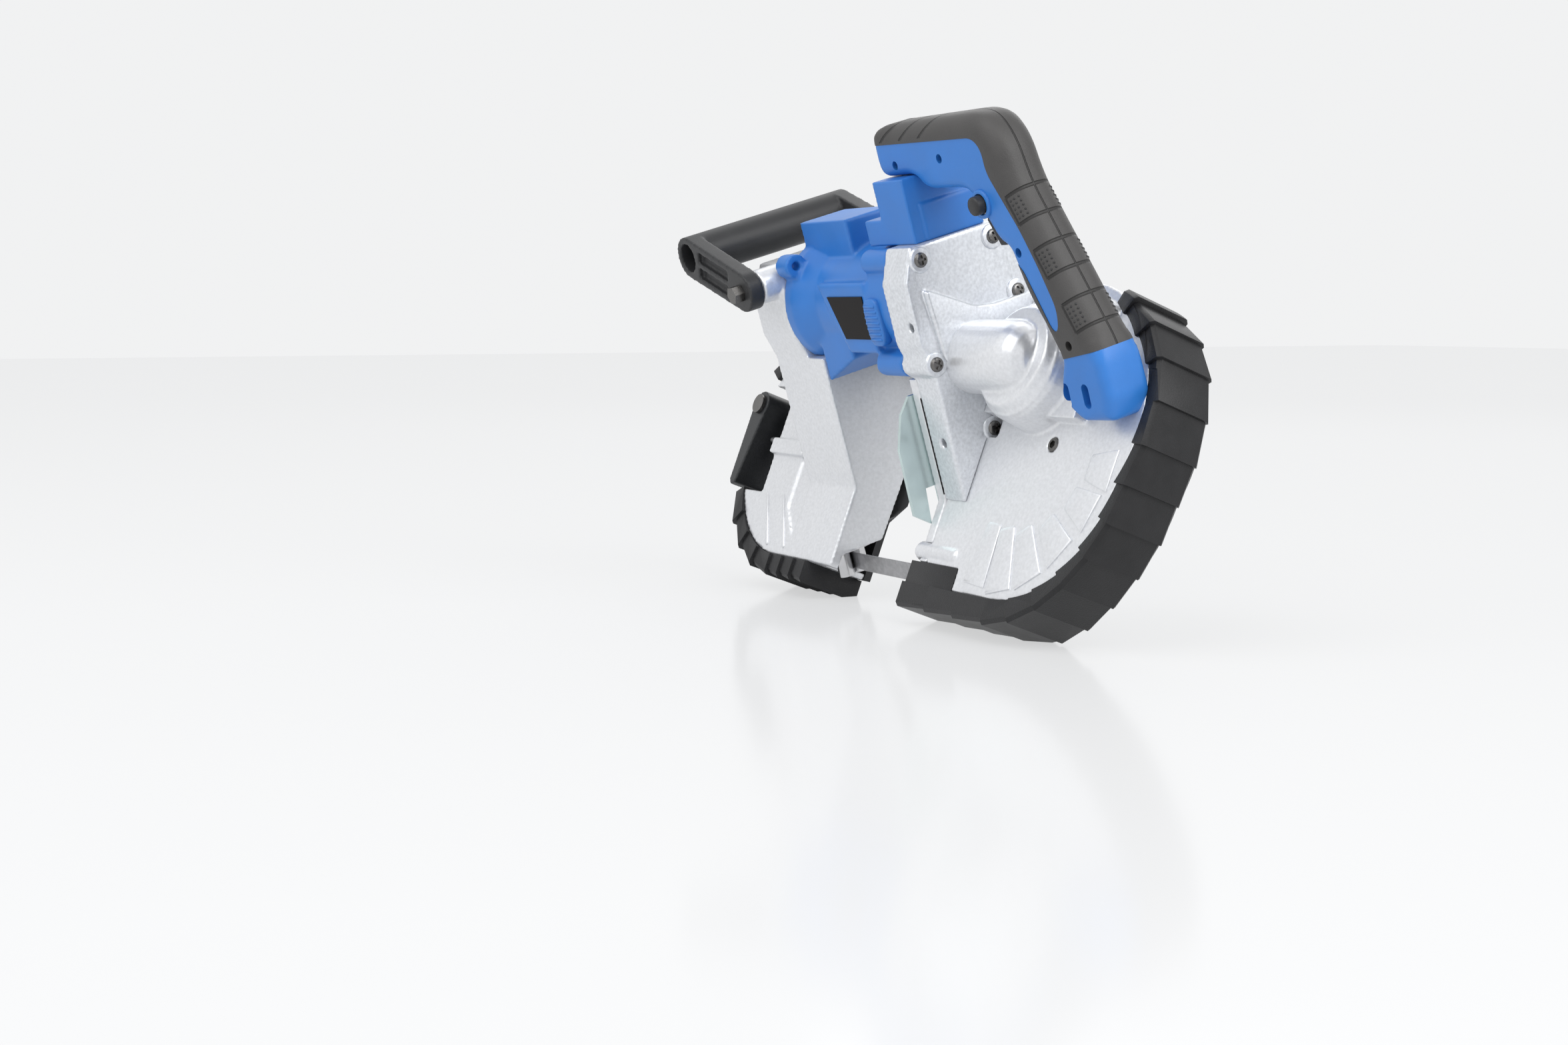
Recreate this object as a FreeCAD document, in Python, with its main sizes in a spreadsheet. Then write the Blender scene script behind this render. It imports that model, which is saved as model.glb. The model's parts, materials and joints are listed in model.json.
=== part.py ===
import FreeCAD, Part
import Sketcher
import math
import os
import re

# Portable deep-cut band saw, millimetres.
# Two axis systems share one origin, midway between the two wheel centres on the blade's path.
# Cutting axes: x along the blade towards the handle, y away from the motor side, z up out of the cut.
# Wheel axes: x the same, y up the tilted wheel plane, z along the wheel spindles to the motor side.
# The saw stands leaning on flats of its bumpers, so both systems are turned about x into place.

SIZES = {
    # Stance and layout
    "lean": 16.4, "twist": 37.3, "stand_height": 108.5, "origin_along": -0.84, "origin_across": -27.33,
    "wheel_spacing": 312, "wheel_radius": 82, "wheel_width": 14, "tyre_thickness": 3, "tyre_width": 13,
    "housing_spacing": 306, "housing_radius": 94, "crown_radius": 103, "crown_back": 4,
    "crown_rise": 26, "rim_wall": 5, "near_face": 25, "deck": 8, "far_face": 26, "cover": 6,
    "seat_gap": 0.05, "throat_front": 62, "throat_rear": 54, "throat_wall": 4, "ceiling": 72,
    "cheek": 40, "motor_height": 125, "motor_joint": 60, "case_joint": 64, "case_end": 90,
    "case_top": 169, "cheek_low": -11, "over": 1,
    # Saw blade
    "blade_width": 13, "blade_thickness": 0.65, "blade_clearance": 0.3, "straight_reach": 90,
    "turn_steps": 6, "turn_start": 138,
    # Wheels
    "hub_half": 8, "hub_radius": 18, "web_half": 3, "rim_inner": 70, "spindle_radius": 8,
    "bearing_radius": 12, "spoke_circle": 46, "spoke_hole": 13, "spoke_count": 6,
    # Drive spindle, ring gear and bearing
    "spindle_low": 14, "spindle_high": 23, "head_radius": 13, "head_height": 4, "gear_radius": 49,
    "gear_low": 3, "gear_high": 13, "bearing_low": 15.5, "bearing_high": 23.5, "run_gap": 0.06,
    # Gear train
    "dome_along": 140, "dome_rise": 64, "shaft_level": 54, "gear_shaft_radius": 6, "pinion_gap": 0.3,
    "bevel_low": 39, "bevel_rim": 44.9, "bevel_high": 49.4, "bevel_radius": 20, "bevel_tip": 8,
    "bevel_top": 72, "mesh_low": 8, "second_gear_radius": 26, "second_gear_start": 72,
    "second_gear_width": 8, "bevel_pinion_start": 122, "bevel_pinion_length": 8,
    "bevel_pinion_large": 8, "bevel_pinion_small": 5, "second_shaft_start": 67,
    # Front frame
    "column_front": 134, "column_step": 90, "collar_front": 85, "shoulder": 46, "shoulder_low": 110,
    "shoulder_high": 140, "head_half": 34, "head_rise": 12, "foot_depth": 20, "wall_low": -56,
    "wall_low_near": -74, "wall_low_far": -28, "wall_back": -3.6, "wall_back_low": -26, "wall_far": 46,
    "wall_far_low": 40, "rim_end": 84, "bail_along": -98, "bail_height": 150, "bail_bolt": 4,
    "lug_radius": 13, "lug_reach": 60, "deck_top": 100, "lever_wall": 242.5,
    "lever_wall_thickness": 2.5, "lever_low": -46, "lever_high": 42, "lug_low": 17, "lug_high": 35,
    "lug_front": 263, "lever_far": -9, "bay_edge": 204, "bay_floor": 0, "bay_side": 12.5,
    "front_bearing_radius": 11, "front_bearing_depth": 26, "column_wall": 6, "core_line": 31,
    "core_top": 84, "head_core_end": 114, "head_core_half": 28, "head_core_top": 150,
    "boss_front": -203, "boss_rear": -148, "boss_low": -14.5, "boss_high": -1.5, "boss_face": 31,
    "recess_front": -156, "recess_low": -54, "recess_tip": -80, "recess_rear": -132, "recess_top": -6,
    "recess_shoulder": -23, "recess_depth": 2.5, "wall_rib_rise": -50, "wall_rib_radius": 6,
    "wall_rib_sink": 3.5, "wall_rib_far": 0,
    # Rear frame
    "platform_low": 31, "platform_end": 195, "platform_height": 10, "platform_inset": 8,
    "platform_reach": 100, "boss_radius": 40, "boss_top": 52, "step_radius": 31, "step_top": 58,
    "dome_radius": 24, "neck_radius": 22, "shaft_bore": 7, "gear_room": 21.5, "gear_room_top": 60,
    "pinion_room": 19, "pinion_room_top": 64, "shaft_tip_room": 73, "plug_along": 167, "plug_rise": 15,
    "plug_radius": 5, "plug_depth": 4, "rim_start": 114, "rim_high": 117, "lobe_across": -4,
    "lobe_up": 32.5, "lobe_radius": 7, "toe_start": 48, "toe_length": 50, "toe_rise": -69.5,
    "toe_level": 20, "toe_radius": 7,
    # Throat plate
    "plate_top": 77.5,
    # Gear case
    "case_waist": 84, "case_swell_low": 104, "case_swell_high": 146, "case_crown": 36,
    "case_far_high": 150, "case_lug_radius": 9, "lug_up": 159, "lug_up_half": 30, "lug_down": 88,
    "lug_down_near": 37, "lug_far": 40, "lug_far_up": 118, "case_lug_end": 87,
    "rear_bearing_radius": 11, "rear_bearing_depth": 8, "case_floor": 4, "mount_hole_radius": 3.4,
    "mount_hole_depth": 16, "mount_up_along": 84, "mount_up": 116, "mount_down_along": 79.5,
    "mount_down": 32, "gear_clear": 1.5, "relief_height": 3, "relief_top": 138, "relief_near": -33,
    "relief_far_up": 119, "relief_far": -2, "relief_low": 92, "relief_low_near": -28,
    # Covers and guard
    "cover_inset": 0.5, "cover_notch": -60, "cover_corner": -40, "guard_low": 70, "guard_high": 94,
    "guard_near": 16, "guard_wall": 5,
    # Bumpers
    "bumper_thickness": 18, "bumper_step": 2.5, "bumper_side_step": 2.5, "bumper_root": 3,
    "bumper_chamfer": 2.5, "bumper_far": 26, "bumper_gap": 0.05, "tread_angle": 15, "flat_blocks": 3,
    "crown_end": 57, "front_end": -152, "front_upper_start": 150, "front_upper_end": 112,
    "bumper_side": 12.5, "bumper_end": 6, "bumper_front": 17, "bumper_far_side": 19.5,
    "side_start": -40, "crown_taper": 35, "rear_flat_end": 46, "front_flat_end": -96, "block_end": 105,
    "block_top": -78, "block_low": -108, "block_level": 16.5, "roller_room_low": -101,
    "cap_room_start": 240, "cap_room_low": 46, "cap_room_high": 70,
    # Motor
    "motor_radius": 41, "motor_wall": 5, "collar_radius": 48, "collar_length": 11, "flange_radius": 44,
    "flange_length": 35, "skirt_near": -38, "skirt_far": 30, "box_start": -82, "box_end": -14,
    "box_half": 20, "box_base": 150, "plate_low": 106.5, "plate_high": 137.5, "pad_face": 42,
    "box_top": 188, "motor_lug_length": 35, "stator_inner": 22.6, "stator_start": -40,
    "stator_length": 46, "core_radius": 22, "core_start": -37, "core_length": 40,
    "motor_shaft_radius": 5, "shaft_front": 108, "commutator_radius": 14, "commutator_start": -70,
    "commutator_length": 20, "fan_radius": 33, "fan_start": 25, "fan_length": 10,
    "motor_pinion_length": 12, "flare_length": 24, "skirt_end": -18, "skirt_rise": 90,
    "plate_front": -26.5, "plate_front_low": -13, "plate_rear": 22.5, "pad_front": -40,
    "pad_front_low": -14, "pad_rear": 26, "pad_low": 96, "pad_high": 147, "ear_across": 38,
    "ear_up": 160, "ear_radius": 9, "ear_end": -68, "ear_hole": 3.4, "ear_hole_depth": 8,
    "front_bearing_back": 20, "pinion_short": 2, "bearing_set_back": 1,
    # Rating plate
    "rating_thickness": 0.8,
    # Trigger handle
    "foot_start": 47, "foot_end": 85, "foot_near": -27, "foot_far": 30, "foot_top": 213.5,
    "half_width": 17, "spine_half": 8, "trigger_half": 6.5, "trigger_room_half": 7.2,
    "button_line": 339.54, "button_slant": 0.94, "button_up": 191, "button_radius": 6,
    "button_face": 26, "button_root": 12.5, "button_room": 9, "hole_radius": 3.2, "screw_recess": 9,
    "step_start": 24.5, "step_far": 26, "foot_step_top": 187, "panel_near": -17, "panel_far": 27,
    "panel_top": 194, "panel_height": 1.2, "seam_line": 0.6, "button_gap": 0.35, "arm_front": 44,
    "arm_low": 214, "arm_seam": 237, "bend_along": 165, "bend_seam": 234, "bend_inner": 173,
    "bend_top": 226, "bend_low": 211, "leg_mid": 195, "leg_mid_up": 173.5, "leg_low": 206,
    "leg_low_up": 149, "tongue_tip": 216, "tongue_tip_up": 121, "tongue_end": 213,
    "tongue_end_up": 107, "tongue_inner": 207, "tongue_inner_up": 106, "leg_inner": 187,
    "leg_inner_up": 148, "knee_low": 179, "knee_low_up": 162, "knee": 168, "knee_up": 166,
    "finger_low": 161, "finger_low_up": 178, "finger_mid": 150, "finger_mid_up": 197,
    "finger_top": 140, "finger_top_up": 202, "arm_under": 96, "arm_under_up": 203, "heel": 86,
    "lip_up": 243, "lip_end": 52, "grip_top": 249, "shoulder_along": 179, "shoulder_up": 244,
    "grip_turn": 190, "grip_turn_up": 228, "grip_back": 196, "grip_back_up": 200, "grip_end": 248,
    "grip_end_up": 94, "grip_inner": 209, "grip_inner_up": 88, "grip_edge": 185, "grip_edge_up": 149,
    "spine_inner": 188, "spine_up": 172, "spine_outer": 204, "spine_back": 236, "spine_back_up": 104,
    "spine_heel": 238, "spine_heel_up": 90, "spine_toe": 222, "spine_toe_up": 88, "spine_front": 212,
    "spine_front_up": 112, "cap_back": 250, "cap_back_up": 62, "cap_heel": 246, "cap_low": 47,
    "cap_toe": 216, "cap_front": 206, "cap_front_up": 54, "cap_nose": 198, "cap_nose_up": 63,
    "cap_rise": 203, "cap_rise_up": 76, "slot_first": 205, "slot_second": 226, "slot_up": 64,
    "slot_radius": 3.6, "slot_reach": 4.5, "slot_depth": 7, "screw_front": 66, "screw_front_up": 221.6,
    "screw_mid": 122, "screw_mid_up": 223, "screw_line": 274.9, "screw_slant": 0.55, "screw_drop": 33,
    "screw_end": 220, "screw_end_up": 97, "trigger_back": 163, "trigger_top": 190,
    "trigger_front": 149, "trigger_front_up": 184, "trigger_nose": 146, "trigger_nose_up": 178,
    "trigger_tip": 155, "trigger_low": 161, "trigger_heel": 174, "trigger_heel_up": 168,
    "room_front": 145, "room_front_up": 188, "room_low": 150, "room_low_up": 159, "room_heel": 172,
    "room_back": 186, "room_back_up": 172, "room_top": 196, "room_top_front": 155,
    # Bail handle
    "bail_reach": 79, "bail_slope": 20.7, "bail_half": 73, "bail_tube": 16, "bail_eye": 15,
    "bail_arm": 12, "bail_bore": 11, "pocket_depth": 4, "bolt_head": 6.8, "bolt_head_height": 8,
    "bolt_grip": 20, "pocket_start": 19, "pocket_rib": 4, "pocket_end": 62, "pocket_half": 10.5,
    # Blade tension
    "carriage_front": 34, "carriage_rear": 30, "carriage_half": 21.5, "carriage_low": 8.6,
    "carriage_high": 16.6, "rail_gap": 0.3, "rail_width": 8, "rail_front": 205, "rail_rear": 105,
    "tension_rod": 2.5, "tension_rod_front": 237, "spring_radius": 4, "spring_front": 206,
    "tension_level": 12.6, "lever_along": -254.5, "lever_rise": 26, "lever_radius": 11.5,
    "lever_front": 266, "lever_tip_low": -44, "lever_tip": -256, "lever_pin": 4, "lever_pin_top": 28,
    "lever_inner": 243.2, "lever_tip_drop": 4, "pin_gap": 0.3,
    # Blade guides
    "guide_length": 22, "guide_near": -59, "guide_far": -40, "guide_low": -57, "guide_high": -51,
    "roller_radius": 6, "roller_low": -76, "roller_top": -57.3, "roller_gap": 0.35, "pin_radius": 2,
    "pin_low": -77, "guide_inset": 11,
    # Shoe
    "shoe_thickness": 3, "shoe_gap": 0.3, "shoe_top": 66, "shoe_bottom": -25.5, "shoe_far": -12,
    "slot_top": 0, "shoe_slot_half": 3.2, "shoe_slot_length": 26, "shoe_screw_across": -24,
    "shoe_screw_low": 8, "shoe_screw_high": 44, "shoe_screw": 2.8, "shoe_head": 6,
    "shoe_head_height": 3, "shoe_near_top": -42.6, "shoe_shoulder": -52, "shoe_shoulder_up": 55,
    "shoe_belly": -60, "shoe_belly_up": 32, "shoe_edge": -61, "shoe_edge_low": -16, "fork_near": -49,
    "fork_inner": -47, "fork_far": -38, "shoe_far_low": -18,
    # Fasteners
    "case_screw_head": 4.6, "case_screw_height": 3, "handle_screw": 3, "handle_screw_length": 5,
}

doc = FreeCAD.newDocument("PortableBandSaw")
sheet = doc.addObject("Spreadsheet::Sheet", "dims")
for row, (name, value) in enumerate(SIZES.items(), start=1):
    sheet.set(f"A{row}", name)
    sheet.set(f"B{row}", str(value))
    sheet.setAlias(f"B{row}", name)
sheet.recompute()


def size(name):
    return float(sheet.get(name))


def cell(text):
    """Turn the plain names in an expression into references to the sheet's cells."""
    return re.sub(r"[a-z_]+", lambda word: "dims." + word[0] if word[0] in SIZES else word[0], str(text))


def bind(thing, **expressions):
    for name, text in expressions.items():
        thing.setExpression(name, cell(text))


def put(thing, at):
    for axis, text in zip("xyz", at):
        thing.setExpression("Placement.Base." + axis, cell(text))


TURN = {
    "x": FreeCAD.Rotation(FreeCAD.Vector(0, 1, 0), 90),
    "y": FreeCAD.Rotation(FreeCAD.Vector(1, 0, 0), -90),
    "z": FreeCAD.Rotation(),
}


def box(name, at, length, width, height):
    block = doc.addObject("Part::Box", name)
    bind(block, Length=length, Width=width, Height=height)
    put(block, at)
    return block


def rod(name, along, at, radius, length):
    """A cylinder that starts at a point and runs along one axis."""
    bar = doc.addObject("Part::Cylinder", name)
    bar.Placement.Rotation = TURN[along]
    bind(bar, Radius=radius, Height=length)
    put(bar, at)
    return bar


def cone(name, along, at, radius_start, radius_end, length):
    taper = doc.addObject("Part::Cone", name)
    taper.Placement.Rotation = TURN[along]
    bind(taper, Radius1=radius_start, Radius2=radius_end, Height=length)
    put(taper, at)
    return taper


def ball(name, at, radius):
    sphere = doc.addObject("Part::Sphere", name)
    bind(sphere, Radius=radius)
    put(sphere, at)
    return sphere


def fuse(name, *members):
    union = doc.addObject("Part::MultiFuse", name)
    union.Shapes = list(members)
    union.Refine = True
    return union


def cut(name, base, *tools):
    result = doc.addObject("Part::Cut", name)
    result.Base = base
    result.Tool = tools[0] if len(tools) == 1 else fuse(name + "_tools", *tools)
    result.Refine = True
    return result


def common(name, first, second):
    overlap = doc.addObject("Part::Common", name)
    overlap.Base = first
    overlap.Tool = second
    return overlap


def group(name, *members):
    """Separate solids that share one node."""
    together = doc.addObject("Part::Compound", name)
    together.Links = list(members)
    return together


def ring(name, along, at, outer, inner, length):
    return cut(name, rod(name + "_outer", along, at, outer, length),
               rod(name + "_bore", along, at, inner, length))


def attached_sketch(body, name, plane, offset):
    sketch = body.newObject("Sketcher::SketchObject", name)
    role = {"xy": "XY_Plane", "xz": "XZ_Plane", "yz": "YZ_Plane"}[plane]
    sketch.AttachmentSupport = (next(f for f in body.Origin.OriginFeatures if f.Role == role), "")
    sketch.MapMode = "FlatFace"
    sketch.setExpression("AttachmentOffset.Base.z", cell(offset))
    return sketch


def draw_polygon(sketch, points):
    """A closed outline whose every corner is held by two lengths bound to the sheet."""
    count = len(points)
    turn = 2 * math.pi / count
    start = [FreeCAD.Vector(math.cos(turn * i), math.sin(turn * i), 0) for i in range(count)]
    sketch.addGeometry([Part.LineSegment(start[i], start[(i + 1) % count]) for i in range(count)], False)
    for i in range(count):
        sketch.addConstraint(Sketcher.Constraint("Coincident", i, 2, (i + 1) % count, 1))
    for i, corner in enumerate(points):
        for kind, text in zip(("DistanceX", "DistanceY"), corner):
            held = sketch.addConstraint(Sketcher.Constraint(kind, -1, 1, i, 1, 1.0))
            sketch.setExpression(f"Constraints[{held}]", cell(text))


def prism(name, plane, points, offset, length, both_ways=False):
    """A padded outline; an xz outline is padded towards -y, the others towards +z or +x."""
    body = doc.addObject("PartDesign::Body", name)
    sketch = attached_sketch(body, name + "_outline", plane, offset)
    draw_polygon(sketch, points)
    pad = body.newObject("PartDesign::Pad", name + "_pad")
    pad.Profile = sketch
    bind(pad, Length=length)
    pad.Midplane = both_ways
    return body


finished = []


def finish(piece, axes="cut", along="0"):
    """Turn a piece from its own axes into its place on the standing saw."""
    finished.append(piece)
    lean = size("lean")
    angle = lean if axes == "cut" else lean + 90 - size("twist")
    turn = FreeCAD.Rotation(FreeCAD.Vector(1, 0, 0), angle)
    piece.Placement = FreeCAD.Placement(FreeCAD.Vector(0, 0, 0), turn)
    put(piece, (f"{along} - origin_along", "-origin_across", "stand_height"))
    return piece


def in_cut_axes(piece):
    """Turn a piece that was drawn in the wheel axes into the cutting axes."""
    turned = group(piece.Label + "_turned", piece)
    turn = FreeCAD.Rotation(FreeCAD.Vector(1, 0, 0), 90 - size("twist"))
    turned.Placement = FreeCAD.Placement(FreeCAD.Vector(0, 0, 0), turn)
    return turned


# The saw blade: a toothed steel band that runs flat over both wheels and is turned to the cut in the throat


def blade_section(along, angle):
    middle = size("wheel_radius") + size("blade_clearance") + size("blade_thickness") / 2
    half_width = size("blade_width") / 2
    half_thick = size("blade_thickness") / 2
    across = FreeCAD.Vector(0, math.sin(angle), math.cos(angle)) * half_width
    through = FreeCAD.Vector(0, math.cos(angle), -math.sin(angle)) * half_thick
    centre = FreeCAD.Vector(along, -middle, 0)
    corners = [centre - across - through, centre + across - through,
               centre + across + through, centre - across + through]
    return Part.makePolygon(corners + corners[:1])


def blade_shape():
    half = size("wheel_spacing") / 2
    inner = size("wheel_radius") + size("blade_clearance")
    thick = size("blade_thickness")
    width = size("blade_width")
    low = FreeCAD.Vector(0, 0, -width / 2)
    pieces = [Part.makeBox(2 * half, thick, width, FreeCAD.Vector(-half, inner, -width / 2))]
    for side in (-1, 1):
        centre = FreeCAD.Vector(side * half, 0, 0) + low
        band = Part.makeCylinder(inner + thick, width, centre).cut(Part.makeCylinder(inner, width, centre))
        reach = inner + thick
        start = min(side * half, side * (half + reach))
        outer_half = Part.makeBox(reach, 2 * reach, width, FreeCAD.Vector(start, -reach, -width / 2))
        pieces.append(band.common(outer_half))
    steps = int(size("turn_steps"))
    full_turn = math.radians(90 - size("twist"))
    start = size("turn_start")
    travel = start - size("straight_reach")
    stations = [(-half, 0)] + [(travel * i / steps - start, full_turn * i / steps) for i in range(steps + 1)]
    stations += [(-along, angle) for along, angle in reversed(stations)]
    pieces.append(Part.makeLoft([blade_section(*station) for station in stations], True, True))
    return pieces[0].fuse(pieces[1:]).removeSplitter()


saw_blade = doc.addObject("Part::Feature", "saw_blade")
saw_blade.Shape = blade_shape()
finish(saw_blade, "wheel")

# The wheels: spoked castings with a rubber tyre; the rear one is driven, the front one idles


def wheel(name, bore, along):
    body = doc.addObject("PartDesign::Body", name)
    profile = attached_sketch(body, name + "_section", "xz", 0)
    rim = "wheel_radius - tyre_thickness"
    half = "wheel_width / 2"
    draw_polygon(profile, [
        (bore, "-hub_half"), ("hub_radius", "-hub_half"), ("hub_radius", "-web_half"),
        ("rim_inner", "-web_half"),
        ("rim_inner", f"-{half}"), (rim, f"-{half}"), (rim, half), ("rim_inner", half),
        ("rim_inner", "web_half"), ("hub_radius", "web_half"), ("hub_radius", "hub_half"),
        (bore, "hub_half")])
    turned = body.newObject("PartDesign::Revolution", name + "_turned")
    turned.Profile = profile
    turned.ReferenceAxis = (profile, ["V_Axis"])
    turned.Angle = 360
    doc.recompute()
    opening = attached_sketch(body, name + "_opening", "xy", 0)
    opening.addGeometry(Part.Circle(FreeCAD.Vector(1, 0, 0), FreeCAD.Vector(0, 0, 1), 1), False)
    opening.addConstraint(Sketcher.Constraint("PointOnObject", 0, 3, -1))
    reach = opening.addConstraint(Sketcher.Constraint("DistanceX", -1, 1, 0, 3, 1.0))
    opening.setExpression(f"Constraints[{reach}]", cell("spoke_circle"))
    radius = opening.addConstraint(Sketcher.Constraint("Radius", 0, 1.0))
    opening.setExpression(f"Constraints[{radius}]", cell("spoke_hole"))
    pocket = body.newObject("PartDesign::Pocket", name + "_pocket")
    pocket.Profile = opening
    pocket.Midplane = True
    bind(pocket, Length="wheel_width")
    doc.recompute()
    spokes = body.newObject("PartDesign::PolarPattern", name + "_spokes")
    spokes.Originals = [pocket]
    spokes.Axis = (opening, ["N_Axis"])
    spokes.Angle = 360
    bind(spokes, Occurrences="spoke_count")
    body.Tip = spokes
    return finish(body, "wheel", along)


wheel("drive_wheel", "spindle_radius + seat_gap", "wheel_spacing / 2")
wheel("idler_wheel", "bearing_radius + seat_gap", "-wheel_spacing / 2")
for name, along in (("drive_tyre", "wheel_spacing / 2"), ("idler_tyre", "-wheel_spacing / 2")):
    finish(ring(name, "z", ("0", "0", "-tyre_width / 2"), "wheel_radius", "wheel_radius - tyre_thickness",
                "tyre_width"), "wheel", along)

# The drive spindle with its washer head, its bearing in the rear frame and the ring gear on the drive wheel
drive = "wheel_spacing / 2"
finish(fuse("drive_spindle",
            rod("spindle_shank", "z", ("0", "0", "-spindle_low"), "spindle_radius",
                "spindle_low + spindle_high"),
            rod("spindle_head", "z", ("0", "0", "-spindle_low"), "head_radius", "head_height")), "wheel",
       drive)
finish(ring("wheel_gear", "z", ("0", "0", "gear_low"), "gear_radius", "hub_radius + seat_gap",
            "gear_high - gear_low"), "wheel", drive)
finish(ring("spindle_bearing", "z", ("0", "0", "bearing_low"), "bearing_radius", "spindle_radius + run_gap",
            "bearing_high - bearing_low"), "wheel", drive)

# The gear train between motor and drive wheel: an intermediate shaft along the motor, then a bevel gear shaft
final_pinion = ("sqrt((wheel_spacing / 2 - dome_along) * (wheel_spacing / 2 - dome_along)"
                " + dome_rise * dome_rise) - gear_radius - pinion_gap")
dome = ("dome_along", "dome_rise")
finish(fuse("bevel_gear_shaft",
            rod("bevel_shank", "z", dome + ("mesh_low",), "gear_shaft_radius", "bevel_top - mesh_low"),
            rod("final_pinion", "z", dome + ("mesh_low",), final_pinion, "gear_high - mesh_low"),
            rod("bevel_disc", "z", dome + ("bevel_low",), "bevel_radius", "bevel_rim - bevel_low"),
            cone("bevel_teeth", "z", dome + ("bevel_rim",), "bevel_radius", "bevel_tip",
                 "bevel_high - bevel_rim")), "wheel")
second = ("dome_rise", "shaft_level")
finish(fuse("intermediate_shaft",
            rod("second_shank", "x", ("second_shaft_start",) + second, "gear_shaft_radius",
                "bevel_pinion_start - second_shaft_start"),
            rod("second_gear", "x", ("second_gear_start",) + second, "second_gear_radius",
                "second_gear_width"),
            cone("bevel_pinion", "x", ("bevel_pinion_start",) + second, "bevel_pinion_large",
                 "bevel_pinion_small", "bevel_pinion_length")), "wheel")

# The front frame: a casting with the idler wheel's deck and rim, the column beside the throat and the
# head that holds the motor's front bearing and the bail handle
front = "-housing_spacing / 2"
deck_floor = "near_face - deck"
cover_seat = "-far_face + cover"
wheel_room = f"{deck_floor} - ({cover_seat})"
column_foot = "(foot_depth - cheek * cos(twist)) / sin(twist)"
column_back = "(foot_depth + cheek * cos(twist)) / sin(twist)"
front_shell = fuse(
    "front_shell",
    rod("front_deck", "z", (front, "0", deck_floor), "housing_radius", "deck"),
    box("front_deck_throat", (front, "-housing_radius", deck_floor), "housing_spacing / 2 - throat_front",
        "housing_radius + deck_top", "deck"),
    cut("front_rim", rod("front_rim_outer", "z", (front, "0", cover_seat), "housing_radius", wheel_room),
        rod("front_rim_inner", "z", (front, "0", cover_seat), "housing_radius - rim_wall", wheel_room),
        box("front_rim_open", (front, "-housing_radius", cover_seat), "housing_radius", "2 * housing_radius",
            wheel_room)),
    box("front_rim_low", (front, "-housing_radius", cover_seat), "housing_spacing / 2 - rim_end", "rim_wall",
        wheel_room),
    box("front_rim_high", (front, "housing_radius - rim_wall", cover_seat),
        "housing_spacing / 2 - throat_front - throat_wall", "rim_wall", wheel_room))
front_trimmed = cut(
    "front_trimmed", front_shell,
    box("lever_room", ("-lever_wall - housing_radius", "lever_low", "-far_face"), "housing_radius",
        "lever_high - lever_low", "near_face + far_face"),
    box("lever_bay", ("-lever_wall - over", "lever_low", "bay_floor"), "lever_wall + over - bay_edge",
        "lever_high - lever_low", "near_face - bay_floor + over"))
lever_lug_top = "lever_far - run_gap * 5"
front_wheel_part = in_cut_axes(fuse(
    "front_wheel_part", front_trimmed,
    box("lever_wall_plate", ("-lever_wall", "lever_low", cover_seat), "lever_wall_thickness",
        "lever_high - lever_low", f"bay_floor - ({cover_seat})"),
    box("lever_wall_below", ("-lever_wall", "lever_low + lever_wall_thickness", cover_seat), "bay_side",
        "lever_wall_thickness",
        f"bay_floor - ({cover_seat})"),
    box("lever_wall_above", ("-lever_wall", "lever_high - lever_wall_thickness", cover_seat), "bay_side",
        "lever_wall_thickness", f"bay_floor - ({cover_seat})"),
    prism("tab_boss", "xy", [("boss_front", "boss_high"), ("boss_rear", "boss_high"),
                             ("boss_rear", "boss_low"),
                             ("boss_front", "boss_low")], deck_floor, f"boss_face - ({deck_floor})"),
    rod("wall_rib", "z", ("-throat_front - throat_wall + wall_rib_sink", "wall_rib_rise", "wall_rib_far"),
        "wall_rib_radius", "near_face - wall_rib_far"),
    box("lever_lug", ("-lug_front", "lug_low", cover_seat), "lug_front - lever_wall + lever_wall_thickness",
        "lug_high - lug_low", f"{lever_lug_top} - ({cover_seat})")))
throat_section = [("-cheek", "cheek_low"), ("wall_low_near", "wall_low"), ("wall_low_far", "wall_low"),
                  ("wall_back", "wall_back_low"), ("wall_far", "wall_far_low"), ("cheek", "ceiling")]
front_frame_solid = fuse(
    "front_frame_solid", front_wheel_part,
    prism("front_throat_wall", "yz", throat_section + [("cheek", "column_step"), ("-cheek", "column_step")],
          "-throat_front - throat_wall", "throat_wall"),
    prism("front_column", "yz", [("-cheek", column_foot), ("-cheek", "column_step"), ("cheek", "column_step"),
                                 ("cheek", column_back)], "-collar_front", "collar_front - throat_front"),
    prism("front_head", "yz", [("-cheek", column_foot), ("-cheek", "column_step"),
                               ("-shoulder", "shoulder_low"),
                               ("-shoulder", "shoulder_high"), ("-head_half", "bail_height + head_rise"),
                               ("head_half", "bail_height + head_rise"), ("shoulder", "shoulder_high"),
                               ("shoulder", "shoulder_low"), ("cheek", column_back)],
          "-column_front", "column_front - collar_front"),
    rod("bail_lugs", "y", ("bail_along", "-lug_reach", "bail_height"), "lug_radius", "2 * lug_reach"))
core_near = "cheek - column_wall"
core_foot = f"(core_line - ({core_near}) * cos(twist)) / sin(twist)"
core_back = "(core_top * sin(twist) - core_line) / cos(twist)"
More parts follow.
